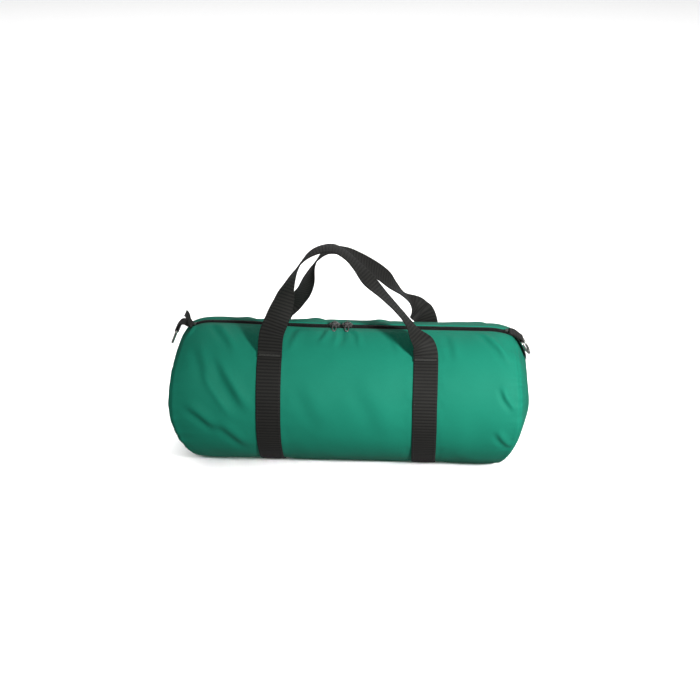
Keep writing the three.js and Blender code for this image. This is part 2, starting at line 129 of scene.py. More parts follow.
def spaced(stops, steps):
    """Numbers through each stop, with that many equal steps between one stop and the next."""
    parts = [np.linspace(a, b, n, endpoint=False) for a, b, n in zip(stops, stops[1:], steps)]
    return np.concatenate([*parts, [stops[-1]]])


# ---- The surface of the case ----------------------------------------------------------------------

# Soft folds that the fabric has taken, as x in mm and angle in degrees at both ends, the half width
# in mm and the height in mm. Angles below zero are on the rear.
FOLDS = [
    (-204, 40, -150, 82, 8, 2.4), (-214, 52, -168, 86, 7, -1.8), (-240, 78, -196, 100, 8, 2.0),
    (-212, 10, -172, 36, 7, 1.8), (-244, 8, -262, 24, 5, 2.2), (-232, 30, -204, 62, 9, 1.6),
    (-196, 92, -152, 118, 9, 1.5), (-30, 6, -44, 26, 5, 1.1), (-12, 6, -14, 30, 5, -1.2),
    (6, 6, 20, 28, 5, 1.0), (-76, 8, -92, 34, 7, 1.0), (62, 8, 84, 32, 7, 0.9),
    (206, 9, 254, 38, 6, 1.7), (238, 60, 258, 78, 5, 1.6), (234, 96, 256, 112, 6, 1.3),
    (160, 12, 172, 40, 7, 0.8), (-64, 60, -30, 96, 14, 0.9), (24, 52, 70, 100, 16, 0.8),
    (-210, -34, -156, -80, 9, 2.0), (-176, -14, -154, -40, 7, 1.2), (-40, -8, -70, -36, 8, 1.1),
    (30, -10, 74, -48, 9, 1.2), (196, -20, 250, -62, 8, 2.0), (176, -70, 236, -104, 9, 1.4),
    (-90, -60, -10, -104, 14, 1.0), (10, -70, 86, -112, 14, 1.0),
]

SEAM_CREASE = 3.6 * MM
PUCKER = 3.4 * MM


def seam_x(angle, share=1.0):
    """Where the end seam is, nearer the middle at the bottom and the top.

    The share is how far out from the axis the point is, from 0 to 1 at the seam itself.
    """
    rise = share * np.cos(np.radians(angle))
    return SEAM_X - BOTTOM_TAPER * np.maximum(0, -rise) ** 1.5 - TOP_TAPER * np.maximum(0, rise) ** 3


def wall(angle, x, offset):
    """The plain barrel, rounded in at the end seams and flattened where it rests."""
    angle, x, offset = np.broadcast_arrays(*(np.asarray(v, float) for v in (angle, x, offset)))
    share = np.abs(x) / seam_x(angle)
    rounding = np.clip((share - SHOULDER_START) / (1 - SHOULDER_START), 0, 1)
    upper = SIDE_DROP + (1 - SIDE_DROP) * np.maximum(0, np.cos(np.radians(angle)))
    scale = 1 - rounding**2 * upper * SHOULDER_DROP / RADIUS
    radius = RADIUS + offset
    round_rise = radius * np.cos(np.radians(angle))
    flat_rise = FLOOR_Z - offset - AXIS_Z
    soft = 1.5 * MM
    rise = (round_rise + flat_rise + np.hypot(round_rise - flat_rise, soft)) / 2
    y = -radius * np.sin(np.radians(angle)) * scale
    return np.stack([x, y, AXIS_Z + rise * scale], -1)


FOLD_STRENGTH = 1.7


def fold_relief(angle, x):
    total = np.zeros(np.broadcast(angle, x).shape)
    arc = np.radians(angle) * RADIUS
    for x0, a0, x1, a1, width, height in FOLDS:
        start = np.array([x0 * MM, math.radians(a0) * RADIUS])
        way = np.array([x1 * MM, math.radians(a1) * RADIUS]) - start
        length = math.hypot(*way)
        way = way / length
        along = ((x - start[0]) * way[0] + (arc - start[1]) * way[1]) / length
        across = (x - start[0]) * -way[1] + (arc - start[1]) * way[0]
        across = across + 3 * MM * noise(along * 2.2, x0 / 50, 3)
        ends = smooth(along, -0.15, 0.35) * smooth(along, 1.15, 0.6)
        ridge = np.exp(-((across / (width * MM)) ** 2))
        valley = np.exp(-(((across - 1.5 * width * MM) / (0.8 * width * MM)) ** 2))
        total += FOLD_STRENGTH * height * MM * ends * (ridge - 0.8 * valley)
    return total


def pucker_wave(angle, seed):
    """The gathers along an end seam: rounded puffs with narrow creases between them."""
    arc = np.radians(angle) * RADIUS / MM
    small = np.abs(noise(arc / 9, 0, seed)) ** 0.7
    large = np.abs(noise(arc / 21, 5, seed)) ** 0.8
    return 0.5 * small + 0.7 * large - 0.35


def coded_relief(angle, x):
    """How far the fabric stands out of the plain barrel: folds, gathers, creases and slack."""
    angle, x = np.broadcast_arrays(np.asarray(angle, float), np.asarray(x, float))
    arc = np.radians(angle) * RADIUS
    to_seam = np.maximum(seam_x(angle) - np.abs(x), 0)
    to_band = np.abs(np.abs(x) - BAND_X) - BAND_WIDTH / 2
    to_zip = np.radians(np.abs(angle) - TAPE_EDGE) * RADIUS
    away_band = smooth(to_band, 0, 12 * MM)
    away_zip = smooth(to_zip, 0, 14 * MM)
    away_seam = smooth(to_seam, 0, 16 * MM)
    on_floor = smooth(np.abs(angle), 140, 158)

    slack = 1.1 * MM * noise(x / (62 * MM), arc / (48 * MM), 1)
    slack = slack + 0.5 * MM * noise(x / (24 * MM), arc / (31 * MM), 2)
    bulge = 1.6 * MM * smooth(to_band, 0, 45 * MM) * smooth(to_seam, 0, 30 * MM)
    body = (slack + bulge + fold_relief(angle, x)) * away_zip * away_seam

    side = np.sign(x)
    reach = (11 + 9 * noise(arc / (16 * MM), side * 3, 4)) * MM
    gathers = PUCKER * pucker_wave(angle, 5 + side) * np.exp(-to_seam / np.maximum(reach, 3 * MM))
    crease = -SEAM_CREASE * np.exp(-((to_seam / (3.2 * MM)) ** 2))
    beside = 0.8 * MM * noise(arc / (13 * MM), np.round(x / (60 * MM)), 6)
    beside = beside * np.exp(-np.maximum(to_band, 0) / (13 * MM)) * smooth(to_band, 0, 3 * MM)
    scallop = 0.7 * MM * noise(x / (19 * MM), np.sign(angle) * 4, 8)
    scallop = scallop * smooth(to_zip, 1 * MM, 6 * MM) * np.exp(-np.maximum(to_zip, 0) / (20 * MM))
    sag = 1.4 * MM * on_floor * smooth(to_band, 2 * MM, 22 * MM) * smooth(to_seam, 4 * MM, 40 * MM)
    total = body * away_band * (1 - on_floor) + gathers * (1 - 0.7 * on_floor) + crease
    return total + beside * (1 - on_floor) + scallop * away_band + sag


SETTLED = {"table": None}  # the cloth simulation's own small movement, on an even grid


def settled_relief(angle, x):
    table = SETTLED["table"]
    if table is None:
        return 0.0
    rows, columns = table.shape
    i = (np.asarray(angle, float) + 180) / 360 * rows
    j = (np.clip(np.asarray(x, float) / seam_x(angle), -1, 1) + 1) / 2 * (columns - 1)
    i, j = np.broadcast_arrays(i, j)
    i0, j0 = np.floor(i).astype(int), np.clip(np.floor(j).astype(int), 0, columns - 2)
    a, b = i - i0, j - j0

    def cubic(p, t):
        first = 2 * p[1] + (p[2] - p[0]) * t
        second = (2 * p[0] - 5 * p[1] + 4 * p[2] - p[3]) * t * t
        return 0.5 * (first + second + (3 * p[1] - p[0] - 3 * p[2] + p[3]) * t**3)

    def row(di):
        cells = [table[(i0 + di) % rows, np.clip(j0 + dj, 0, columns - 1)] for dj in (-1, 0, 1, 2)]
        return cubic(cells, b)

    return cubic([row(di) for di in (-1, 0, 1, 2)], a)


def twist(angle, x):
    """The left end is turned a little to the rear at the top, in degrees."""
    towards = smooth(x, -40 * MM, -215 * MM) * (1 - 0.5 * smooth(x, -228 * MM, -262 * MM))
    return 5.5 * towards * np.exp(-((np.asarray(angle, float) / 42) ** 2))


def lean(angle, x):
    """The left end is stuffed out a little further at the front than the right one."""
    front = np.exp(-(((np.asarray(angle, float) % 360 - 75) / 50) ** 2))
    return -6.5 * MM * front * smooth(x, -120 * MM, -262 * MM)


def skin(angle, x, offset=0.0, share=1.0):
    """Points of the wrinkled case; share is how much of the wrinkles this layer has."""
    relief = share * (coded_relief(angle, x) + settled_relief(angle, x))
    points = wall(angle - twist(angle, x), x, offset + relief)
    points[..., 0] += lean(angle, x)
    return points


def end_skin(angle, spread, inset, side, share=1.0):
    """Points of a domed end panel, from spread 0 in its middle to 1 at its seam."""
    angle, spread = np.broadcast_arrays(np.asarray(angle, float), np.asarray(spread, float))
    angle = (angle + 180) % 360 - 180
    rim = skin(angle, side * seam_x(angle), 0, 1)
    to_seam = (1 - spread) * RADIUS
    arc = np.radians(angle) * RADIUS
    on_floor = smooth(np.abs(angle), 140, 158)
    gathers = 0.8 * PUCKER * pucker_wave(angle, 8 + side) * np.exp(-to_seam / (9 * MM))
    crease = -2.6 * MM * np.exp(-((to_seam / (2.6 * MM)) ** 2))
    y, z = rim[..., 1] * spread, AXIS_Z + (rim[..., 2] - AXIS_Z) * spread
    slack = 2.2 * MM * noise(y / (46 * MM), z / (40 * MM), 11 + side) * smooth(to_seam, 0, 30 * MM)
    rays = 1.1 * MM * noise(arc / (17 * MM), 2, 15 + side) * smooth(to_seam, 2 * MM, 14 * MM)
    rays = rays * np.exp(-to_seam / (34 * MM))
    bulge = DOME * (1 - spread**3)
    x = seam_x(angle, spread) + bulge + inset
    x = x + share * ((gathers + rays) * (1 - on_floor) + crease + slack)
    x = x + side * lean(angle, side * seam_x(angle)) * spread**2
    return np.stack([side * x, y, z], -1)


# ---- Meshes ---------------------------------------------------------------------------------------

def piece(name, points, faces, material, uv=None, sharp=None):
    """A mesh object with its faces turned outward; uv is one (u, v) in metres for each point."""
    mesh = bpy.data.meshes.new(name)
    mesh.from_pydata(np.asarray(points, float).tolist(), [], [list(map(int, f)) for f in faces])
    work = bmesh.new()
    work.from_mesh(mesh)
    bmesh.ops.recalc_face_normals(work, faces=work.faces)
    work.to_mesh(mesh)
    work.free()
    mesh.shade_smooth()
    if sharp is not None:
        mesh.set_sharp_from_angle(angle=math.radians(sharp))
    if uv is not None:
        layer = mesh.uv_layers.new(name="cloth")
        corners = np.zeros(len(mesh.loops), np.int32)
        mesh.loops.foreach_get("vertex_index", corners)
        layer.data.foreach_set("uv", np.asarray(uv, np.float32)[corners].ravel())
    mesh.materials.append(material)
    made = bpy.data.objects.new(name, mesh)
    bpy.context.scene.collection.objects.link(made)
    return made


def quads(first, second, third, fourth):
    return np.stack([first, second, third, fourth], -1).reshape(-1, 4)


def slab(outer, inner, wrap=False):
    """Points and faces of the closed sheet between two grids; wrap joins the last row to the first."""
    rows, columns = outer.shape[:2]
    points = np.concatenate([outer.reshape(-1, 3), inner.reshape(-1, 3)])
    top = np.arange(rows * columns).reshape(rows, columns)
    if wrap:
        top = np.concatenate([top, top[:1]])
    low = top + rows * columns
    faces = [
        quads(top[:-1, :-1], top[:-1, 1:], top[1:, 1:], top[1:, :-1]),
        quads(low[:-1, :-1], low[1:, :-1], low[1:, 1:], low[:-1, 1:]),
        quads(top[:-1, 0], top[1:, 0], low[1:, 0], low[:-1, 0]),
        quads(top[1:, -1], top[:-1, -1], low[:-1, -1], low[1:, -1]),
    ]
    if not wrap:
        faces.append(quads(top[0, 1:], top[0, :-1], low[0, :-1], low[0, 1:]))
        faces.append(quads(top[-1, :-1], top[-1, 1:], low[-1, 1:], low[-1, :-1]))
    return points, np.concatenate(faces)


def twice(u, v):
    """The same (u, v) for both grids of a slab."""
    u, v = np.broadcast_arrays(u, v)
    one = np.stack([u, v], -1).reshape(-1, 2)
    return np.concatenate([one, one])


def loops(rings, cyclic=False):
    """Points and faces of a body through rings of points, capped at both ends unless cyclic."""
    rings = np.asarray(rings, float)
    count, sides = rings.shape[:2]
    index = np.arange(count * sides).reshape(count, sides)
    joined_index = np.concatenate([index, index[:1]]) if cyclic else index
    ahead = np.roll(joined_index, -1, 1)
    faces = quads(joined_index[:-1], ahead[:-1], ahead[1:], joined_index[1:]).tolist()
    if not cyclic:
        faces += [index[0][::-1].tolist(), index[-1].tolist()]
    return rings.reshape(-1, 3), faces


def tube(path, radius, sides=8, closed=False, up=(0.31, 0.22, 0.93)):
    """Points and faces of a round wire along a path; a closed path lies in a plane square to up."""
    path = np.asarray(path, float)
    if closed:
        along = np.roll(path, -1, 0) - np.roll(path, 1, 0)
    else:
        along = np.gradient(path, axis=0)
    along /= np.linalg.norm(along, axis=1)[:, None]
    other = np.cross(along, up)
    other /= np.linalg.norm(other, axis=1)[:, None]
    third = np.cross(along, other)
    turns = np.linspace(0, 2 * math.pi, sides, endpoint=False)[None, :, None]
    size = np.broadcast_to(radius, len(path))[:, None, None]
    ring = np.cos(turns) * other[:, None, :] + np.sin(turns) * third[:, None, :]
    return loops(path[:, None, :] + size * ring, cyclic=closed)


def joined(shapes):
    """Several (points, faces) as one."""
    points, faces, start = [], [], 0
    for some_points, some_faces in shapes:
        points.append(some_points)
        faces.extend([[i + start for i in face] for face in some_faces])
        start += len(some_points)
    return np.concatenate(points), faces


STITCH_SHARES = np.array([0, 0.16, 0.5, 0.84, 1])
STITCH_RADII = np.array([0.35, 0.9, 1, 0.9, 0.35])
STITCH_LIFTS = np.array([-1.1, 0.2, 0.75, 0.2, -1.1])


def stitches(starts, ends, radius, sides=5):
    """Stitches from start to end in flat coordinates (along, across, height), sunk in at both ends."""
    starts, ends = np.asarray(starts, float), np.asarray(ends, float)
    way = ends - starts
    way /= np.linalg.norm(way, axis=1)[:, None]
    across = np.stack([-way[:, 1], way[:, 0], np.zeros(len(way))], -1)
    up = np.array([0, 0, 1.0])
    turns = np.linspace(0, 2 * math.pi, sides, endpoint=False)
    share = STITCH_SHARES[None, :, None]
    centre = starts[:, None] * (1 - share) + ends[:, None] * share
    centre = centre + up * (radius * STITCH_LIFTS)[None, :, None]
    ring = np.cos(turns)[:, None] * across[:, None, None, :] + np.sin(turns)[:, None] * up
    rings = centre[:, :, None, :] + (radius * STITCH_RADII)[None, :, None, None] * ring
    return joined([loops(one) for one in rings])


def stitch_row(first, last, pitch, length, height, radius):
    """A straight row of stitches between two flat places (along, across)."""
    first, last = np.append(first, height), np.append(last, height)
    total = np.linalg.norm(last - first)
    way = (last - first) / total
    places = np.arange(0, total - length, pitch)[:, None]
    starts = first + way * places
    return stitches(starts, starts + way * length, radius)


# ---- Materials ------------------------------------------------------------------------------------

class Shader:
    """A material's node tree, with short names for the nodes that the finishes need."""

    def __init__(self, name, **inputs):
        self.material = bpy.data.materials.new(name)
        self.material.use_nodes = True
        self.tree = self.material.node_tree
        self.surface = self.tree.nodes["Principled BSDF"]
        for socket, value in inputs.items():
            self.surface.inputs[socket.replace("_", " ")].default_value = value

    def node(self, kind, inputs=None, **settings):
        made = self.tree.nodes.new(kind)
        for key, value in settings.items():
            setattr(made, key, value)
        for socket, value in (inputs or {}).items():
            if isinstance(value, bpy.types.NodeSocket):
                self.tree.links.new(value, made.inputs[socket])
            else:
                made.inputs[socket].default_value = value
        return made

    def cloth_place(self):
        return self.node("ShaderNodeUVMap", uv_map="cloth").outputs["UV"]

    def object_place(self):
        return self.node("ShaderNodeTexCoord").outputs["Object"]

    def scaled(self, place, scale):
        mapping = self.node("ShaderNodeMapping", {"Vector": place, "Scale": scale})
        return mapping.outputs["Vector"]

    def wave(self, place, pitch, direction, distortion=0.0):
        """Bands one pitch apart, from 0 to 1. A wave texture at scale 1 has a band every pi / 10."""
        inputs = {"Vector": place, "Scale": math.pi / 10 / pitch, "Distortion": distortion}
        made = self.node("ShaderNodeTexWave", inputs, bands_direction=direction)
        return made.outputs["Fac"]

    def speckle(self, place, size, detail=2.0, roughness=0.5):
        """Noise from 0 to 1 whose bumps are about one size apart."""
        inputs = {"Vector": place, "Scale": 1 / size, "Detail": detail, "Roughness": roughness}
        return self.node("ShaderNodeTexNoise", inputs).outputs["Fac"]

    def maths(self, operation, first, second=0.0, third=0.0):
        made = self.node("ShaderNodeMath", {0: first, 1: second, 2: third}, operation=operation)
        return made.outputs[0]

    def ramp(self, value, stops):
        made = self.node("ShaderNodeValToRGB", {"Fac": value})
        points = made.color_ramp.elements
        while len(points) < len(stops):
            points.new(0.5)
        for point, (place, colour) in zip(points, stops):
            point.position = place
            point.color = (*colour, 1) if len(colour) == 3 else colour
        return made.outputs["Color"]

    def between(self, value, low, high):
        """Remaps 0 to 1 onto low to high."""
        made = self.node("ShaderNodeMapRange", {"Value": value, "To Min": low, "To Max": high})
        return made.outputs["Result"]

    def mix(self, share, first, second, blend_type="MIX"):
        made = self.node("ShaderNodeMix", data_type="RGBA", blend_type=blend_type)
        for socket, value in ((0, share), (6, first), (7, second)):
            if isinstance(value, bpy.types.NodeSocket):
                self.tree.links.new(value, made.inputs[socket])
            else:
                made.inputs[socket].default_value = value
        return made.outputs[2]

    def bump(self, height, distance, strength=1.0, normal=None):
        inputs = {"Height": height, "Distance": distance, "Strength": strength}
        if normal is not None:
            inputs["Normal"] = normal
        return self.node("ShaderNodeBump", inputs).outputs["Normal"]

    def finish(self, **links):
        for socket, value in links.items():
            self.tree.links.new(value, self.surface.inputs[socket.replace("_", " ")])
        return self.material


def tone(colour, factor):
    return tuple(min(1, c * factor) for c in colour)


def woven(name, colour, thread, rough, variation, relief, **inputs):
    """A plain weave: warp and weft bands in turn, with uneven dye, a little fuzz, and pointed edges and
    fold ridges paler, as painted sheen and as rubbed cloth.
    """
    made = Shader(name, **inputs)
    cloth = made.cloth_place()
    place = made.object_place()
    warp = made.wave(cloth, thread, "X", 0.15)
    weft = made.wave(cloth, thread, "Y", 0.15)
    cell = made.maths("MULTIPLY", warp, weft)
    ridges = made.maths("MAXIMUM", warp, weft)
    weave = made.maths("SUBTRACT", ridges, made.maths("MULTIPLY", cell, 0.5))
    dye = made.speckle(place, 0.11, 4.0, 0.6)
    fibre = made.speckle(made.scaled(cloth, (1, 6, 1)), 0.0045, 3.0, 0.7)
    shade = made.ramp(dye, [(0.25, tone(colour, 1 - variation)), (0.75, tone(colour, 1 + variation))])
    shade = made.mix(0.5, shade, made.ramp(fibre, [(0.3, tone(colour, 0.86)), (0.75, tone(colour, 1.14))]))
    dark = made.between(weave, 0.82, 1.06)
    shade = made.mix(1.0, shade, dark, "MULTIPLY")
    # Pointed edges and fold ridges are mixed towards a paler green: painted sheen where light catches
    # them, and rubbed cloth.
    pointed_edges = made.node("ShaderNodeNewGeometry").outputs["Pointiness"]
    edge = made.ramp(pointed_edges, [(0.5, (0, 0, 0)), (0.58, (1, 1, 1))])
    shade = made.mix(made.maths("MULTIPLY", edge, 0.25), shade, (*tone(colour, 1.7), 1))
    roughness = made.between(fibre, rough - 0.07, rough + 0.07)
    fuzz = made.bump(fibre, 0.00012, 0.5)
    normal = made.bump(weave, relief, 0.6, fuzz)
    return made.finish(Base_Color=shade, Roughness=roughness, Normal=normal)


def webbing_finish(name, colour):
    """Heavy ribbed webbing: painted shade in the grooves between the ribs, a fine diagonal thread and pale
    fluff.
    """
    made = Shader(name, Specular_IOR_Level=0.3, Sheen_Weight=0.04, Sheen_Roughness=0.5)
    cloth = made.cloth_place()
    turned = made.node("ShaderNodeMapping", {"Vector": cloth, "Rotation": (0, 0, math.radians(38))})
    twill = made.wave(turned.outputs["Vector"], 0.0011, "X", 0.2)
    rows = made.wave(cloth, 0.0013, "Y", 0.1)
    ribs = made.wave(cloth, RIB_PITCH, "Y", 0.0)
    lint = made.speckle(cloth, 0.0035, 4.0, 0.75)
    patch = made.speckle(made.object_place(), 0.05, 3.0, 0.6)
    shade = made.ramp(patch, [(0.3, tone(colour, 0.82)), (0.75, tone(colour, 1.22))])
    weave = made.maths("MULTIPLY", twill, rows)
    shade = made.mix(1.0, shade, made.between(weave, 0.75, 1.25), "MULTIPLY")
    # Painted shade: the colour darkens in the grooves between the ribs.
    shade = made.mix(1.0, shade, made.between(ribs, 0.3, 1.15), "MULTIPLY")
    shade = made.mix(1.0, shade, made.between(lint, 0.8, 1.25), "MULTIPLY")
    roughness = made.between(lint, 0.6, 0.82)
    normal = made.bump(weave, 0.00018, 0.7, made.bump(ribs, 0.0003, 0.5))
    return made.finish(Base_Color=shade, Roughness=roughness, Normal=normal)


def thread_finish(name, colour):
    made = Shader(name, Sheen_Weight=0.1)
    place = made.object_place()
    twist_lines = made.speckle(place, 0.0012, 2.0)
    shade = made.ramp(twist_lines, [(0.3, tone(colour, 0.7)), (0.7, tone(colour, 1.25))])
    return made.finish(Base_Color=shade, Roughness=made.between(twist_lines, 0.5, 0.75),
                       Normal=made.bump(twist_lines, 0.0001, 0.6))


def metal_finish(name, colour, bare, rough, wear, metallic=1.0):
    """Plated or painted metal: fine scratches, smudges, and bare metal where edges have rubbed."""
    made = Shader(name, Metallic=metallic)
    place = made.object_place()
    scratch = made.speckle(made.scaled(place, (1, 9, 1)), 0.0016, 4.0, 0.7)
    smudge = made.speckle(place, 0.007, 3.0, 0.6)
    pointed = made.node("ShaderNodeNewGeometry").outputs["Pointiness"]
    edge = made.maths("ADD", made.maths("SUBTRACT", pointed, 0.5), made.maths("MULTIPLY", scratch, 0.05))
    pointed_edges = made.ramp(edge, [(0.05, (0, 0, 0)), (0.12, (1, 1, 1))])
    base = made.ramp(smudge, [(0.3, tone(colour, 0.8)), (0.75, tone(colour, 1.2))])
    shade = made.mix(made.maths("MULTIPLY", pointed_edges, wear), base, (*bare, 1))
    roughness = made.between(smudge, rough - 0.07, rough + 0.12)
    return made.finish(Base_Color=shade, Roughness=roughness, Normal=made.bump(scratch, 0.00004, 0.4))


def plain_finish(name, colour, rough, grain, size, relief):
    """A fine grained surface, for foam, coils and the floor."""
    made = Shader(name)
    place = made.object_place()
    grains = made.speckle(place, size, 4.0, 0.65)
    shade = made.ramp(grains, [(0.3, tone(colour, 1 - grain)), (0.7, tone(colour, 1 + grain))])
    return made.finish(Base_Color=shade, Roughness=made.between(grains, rough - 0.06, rough + 0.06),
                       Normal=made.bump(grains, relief, 0.5))


GREEN = (0.013, 0.245, 0.158)
FABRIC = woven("green_nylon", GREEN, 0.00085, 0.6, 0.07, 0.00012, Specular_IOR_Level=0.08,
               Sheen_Weight=0.02, Sheen_Roughness=0.4)
LINING = woven("black_lining", (0.012, 0.012, 0.013), 0.0006, 0.5, 0.1, 0.00008,
               Specular_IOR_Level=0.3)
TAPE = woven("zip_tape_weave", (0.012, 0.0115, 0.011), 0.0009, 0.72, 0.1, 0.00015,
             Specular_IOR_Level=0.2)
BINDING = woven("binding_weave", (0.014, 0.014, 0.014), 0.001, 0.7, 0.1, 0.00015,
                Specular_IOR_Level=0.2)
STRAP = webbing_finish("ribbed_webbing", (0.0155, 0.015, 0.0128))
THREAD = thread_finish("black_thread", (0.012, 0.012, 0.012))
PALE_THREAD = thread_finish("grey_thread", (0.05, 0.05, 0.045))
GREEN_THREAD = thread_finish("green_thread", tone(GREEN, 0.6))
COIL = plain_finish("coil_nylon", (0.020, 0.019, 0.018), 0.38, 0.2, 0.003, 0.00003)
FOAM = plain_finish("foam", (0.62, 0.60, 0.54), 0.92, 0.08, 0.0016, 0.0004)
BLACK_METAL = metal_finish("black_metal", (0.03, 0.03, 0.032), (0.45, 0.44, 0.42), 0.34, 0.7, 0.85)
STEEL = metal_finish("nickel_steel", (0.62, 0.61, 0.58), (0.8, 0.79, 0.77), 0.2, 0.5)
FLOOR = plain_finish("pale_floor", (0.9, 0.9, 0.9), 0.75, 0.01, 0.02, 0.0001)


# ---- Bodies ---------------------------------------------------------------------------------------

FADE_FROM, FADE_TO = 47, 37          # degrees from the top, between which a point's lip share goes from 0 to 1


def lip_share(points):
    """1 where a point belongs to a folding lip, 0 where it belongs to the case."""
    angle = np.degrees(np.arctan2(np.abs(points[:, 1]), points[:, 2] - AXIS_Z))
    along = smooth(np.abs(points[:, 0]), ZIP_END_X, MOUTH_X)
    return smooth(angle, FADE_FROM, FADE_TO) * along


def points_of(made):
    flat = np.zeros(len(made.data.vertices) * 3)
    made.data.vertices.foreach_get("co", flat)
    return flat.reshape(-1, 3)


def bend(made, share):
    """Bakes a piece's placement into its points. The share for each point is not used."""
    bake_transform(made)
    return made


def on_lip(made):
    return bend(made, lip_share(points_of(made)))


# ---- Barrel covers, padding and lining ------------------------------------------------------------

BARREL_STOPS = [-1, -0.93, -0.8, 0.8, 0.93, 1]
BARREL_STEPS = [30, 18, 120, 18, 30]
ANGLE_STOPS = [TAPE_EDGE, 8, 30, 150, 180]
ANGLE_STEPS = [8, 16, 76, 20]
PAD_ANGLE = 6.2
HALF_ROUND = math.pi * RADIUS


def face_grid(face, angle_stops, angle_steps, along=None):
    """Angles and x of a front or rear panel, from its zipper edge to the middle of the bottom."""
    angles = spaced(angle_stops, angle_steps)[:, None] * FACES[face]
    shares = spaced(BARREL_STOPS, BARREL_STEPS) if along is None else along
    return angles, shares[None, :] * seam_x(angles)


def face_uv(angles, x):
    return twice(np.radians(angles) * RADIUS, x)


def hem(angles):
    """The folded edge beside the zipper: it dips to the tape, then stands up as a double layer."""
    distance = np.radians(np.abs(angles) - TAPE_EDGE) * RADIUS
    dip = -0.7 * MM * (1 - smooth(distance, 0, 1.2 * MM))
    doubled = 0.45 * MM * (1 - smooth(distance, 5 * MM, 8 * MM))
    return dip + doubled


def cover(face):
    angles, x = face_grid(face, ANGLE_STOPS, ANGLE_STEPS)
    outer = skin(angles, x, hem(angles))
    inner = skin(angles, x, COVER_LAYER[1])
    made = piece(f"{face}_cover", *slab(outer, inner), FABRIC, face_uv(angles, x))
    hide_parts("barrel_shell", f"{face}_lip_shell")
    return on_lip(made)


def padding(face):
    angles, x = face_grid(face, [PAD_ANGLE, 30, 150, 180], [8, 40, 10], np.linspace(-0.97, 0.97, 90))
    outer = skin(angles, x, PAD_LAYER[0], 0.8)
    inner = skin(angles, x, PAD_LAYER[1], 0.35)
    made = piece(f"{face}_wall_pad", *slab(outer, inner), FOAM)
    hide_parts("barrel_foam", f"{face}_lip_foam")
    return on_lip(made)


def lining(face):
    """The lining, with the facing that closes the padding's edge under the zipper tape."""
    edge = spaced([3.6, 4.6, 5.4], [3, 3])
    rest = spaced([5.4, 30, 150, 180], [10, 50, 14])[1:]
    angles = np.concatenate([edge, rest])[:, None] * FACES[face]
    depth = np.interp(np.abs(angles), [3.6, 4.6, 5.4, 6.4], [2.2, 3.0, 8.6, 10.2]) * MM
    x = np.linspace(-0.965, 0.965, 130)[None, :] * seam_x(angles)
    arc = np.radians(angles) * RADIUS
    wrinkle = 0.7 * MM * noise(x / (27 * MM), arc / (22 * MM), 14) * smooth(np.abs(angles), 8, 20)
    outer = skin(angles, x, -depth, 0.3)
    inner = skin(angles, x, -depth - 0.5 * MM - np.abs(wrinkle), 0.3)
    made = piece(f"{face}_lining", *slab(outer, inner), LINING, face_uv(angles, x))
    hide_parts("barrel_lining", f"{face}_lip_lining")
    return on_lip(made)


def end_layer(name, side, insets, rim, shares, material, steps, count):
    """One layer of an end panel, between two insets, out to a share of its radius."""
    angles = np.linspace(0, 360, count, endpoint=False)[:, None]
    spreads = (1 - (1 - np.linspace(0.004, 1, steps)) ** 1.3) * rim
    outer = end_skin(angles, spreads[None, :], insets[0], side, shares[0])
    inner = end_skin(angles, spreads[None, :], insets[1], side, shares[1])
    points, faces = slab(outer, inner, wrap=True)
    return piece(name, points, faces, material, points[:, 1:])


def seam_tape(name, side):
    """The tape that binds the raw seam inside an end, all the way round."""
    angles = np.linspace(-180, 180, 240, endpoint=False)[:, None]
    x = side * np.linspace(0.92, 0.965, 12)[None, :] * seam_x(angles)
    edge = 0.5 * MM * np.sin(np.linspace(0, math.pi, 12))[None, :]
    wave = 0.3 * MM * noise(angles / 5, x / (8 * MM), 17)
    outer = skin(angles, x, edge - 11.9 * MM + wave, 0.3)
    inner = skin(angles, x, wave - 12.6 * MM, 0.3)
    uv = twice(np.radians(angles) * RADIUS, x)
    made = piece(f"{name}_seam_tape", *slab(outer, inner, wrap=True), BINDING, uv)
    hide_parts(f"{name}_seam_binding")
    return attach(made, "case")


def laid(flat, face):
    """Points given flat as (x, distance from the top line, height), laid on the case."""
    flat = np.asarray(flat, float)
    return skin(np.degrees(flat[:, 1] / RADIUS) * FACES[face], flat[:, 0], flat[:, 2])


def arc_of(angle):
    return math.radians(angle) * RADIUS


# ---- Zipper ---------------------------------------------------------------------------------------

COIL_PITCH = 2.2 * MM
COIL_WIRE = 0.44 * MM
COIL_LOOP = np.array([            # one tooth: distance from the centre line, height
    (3.3, -0.6), (3.25, 0.5), (2.6, 1.25), (1.2, 1.35), (-0.3, 1.15), (-0.95, 0.45), (-0.4, -0.25),
    (0.9, -0.55), (2.6, -0.65),
]) * MM


def zip_tape(face):
    angles = spaced([1.35, 2.2, 4.2, 5.9], [2, 4, 3])[:, None]
    depth = np.interp(angles, [1.35, 2.2, 4.2, 4.8], [0.35, 0.7, 1.0, 1.45]) * MM
    x = np.linspace(-ZIP_END_X, ZIP_END_X, 260)[None, :]
    angles = angles * FACES[face]
    ripple = 0.12 * MM * noise(x / (9 * MM), angles, 21)
    outer = skin(angles, x, ripple - depth)
    inner = skin(angles, x, ripple - depth - 0.65 * MM)
    made = piece(f"{face}_zip_tape_cloth", *slab(outer, inner), TAPE, face_uv(angles, x))
    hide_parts(f"{face}_zip_tape", "left_zip_end", "right_zip_end")
    return on_lip(made)


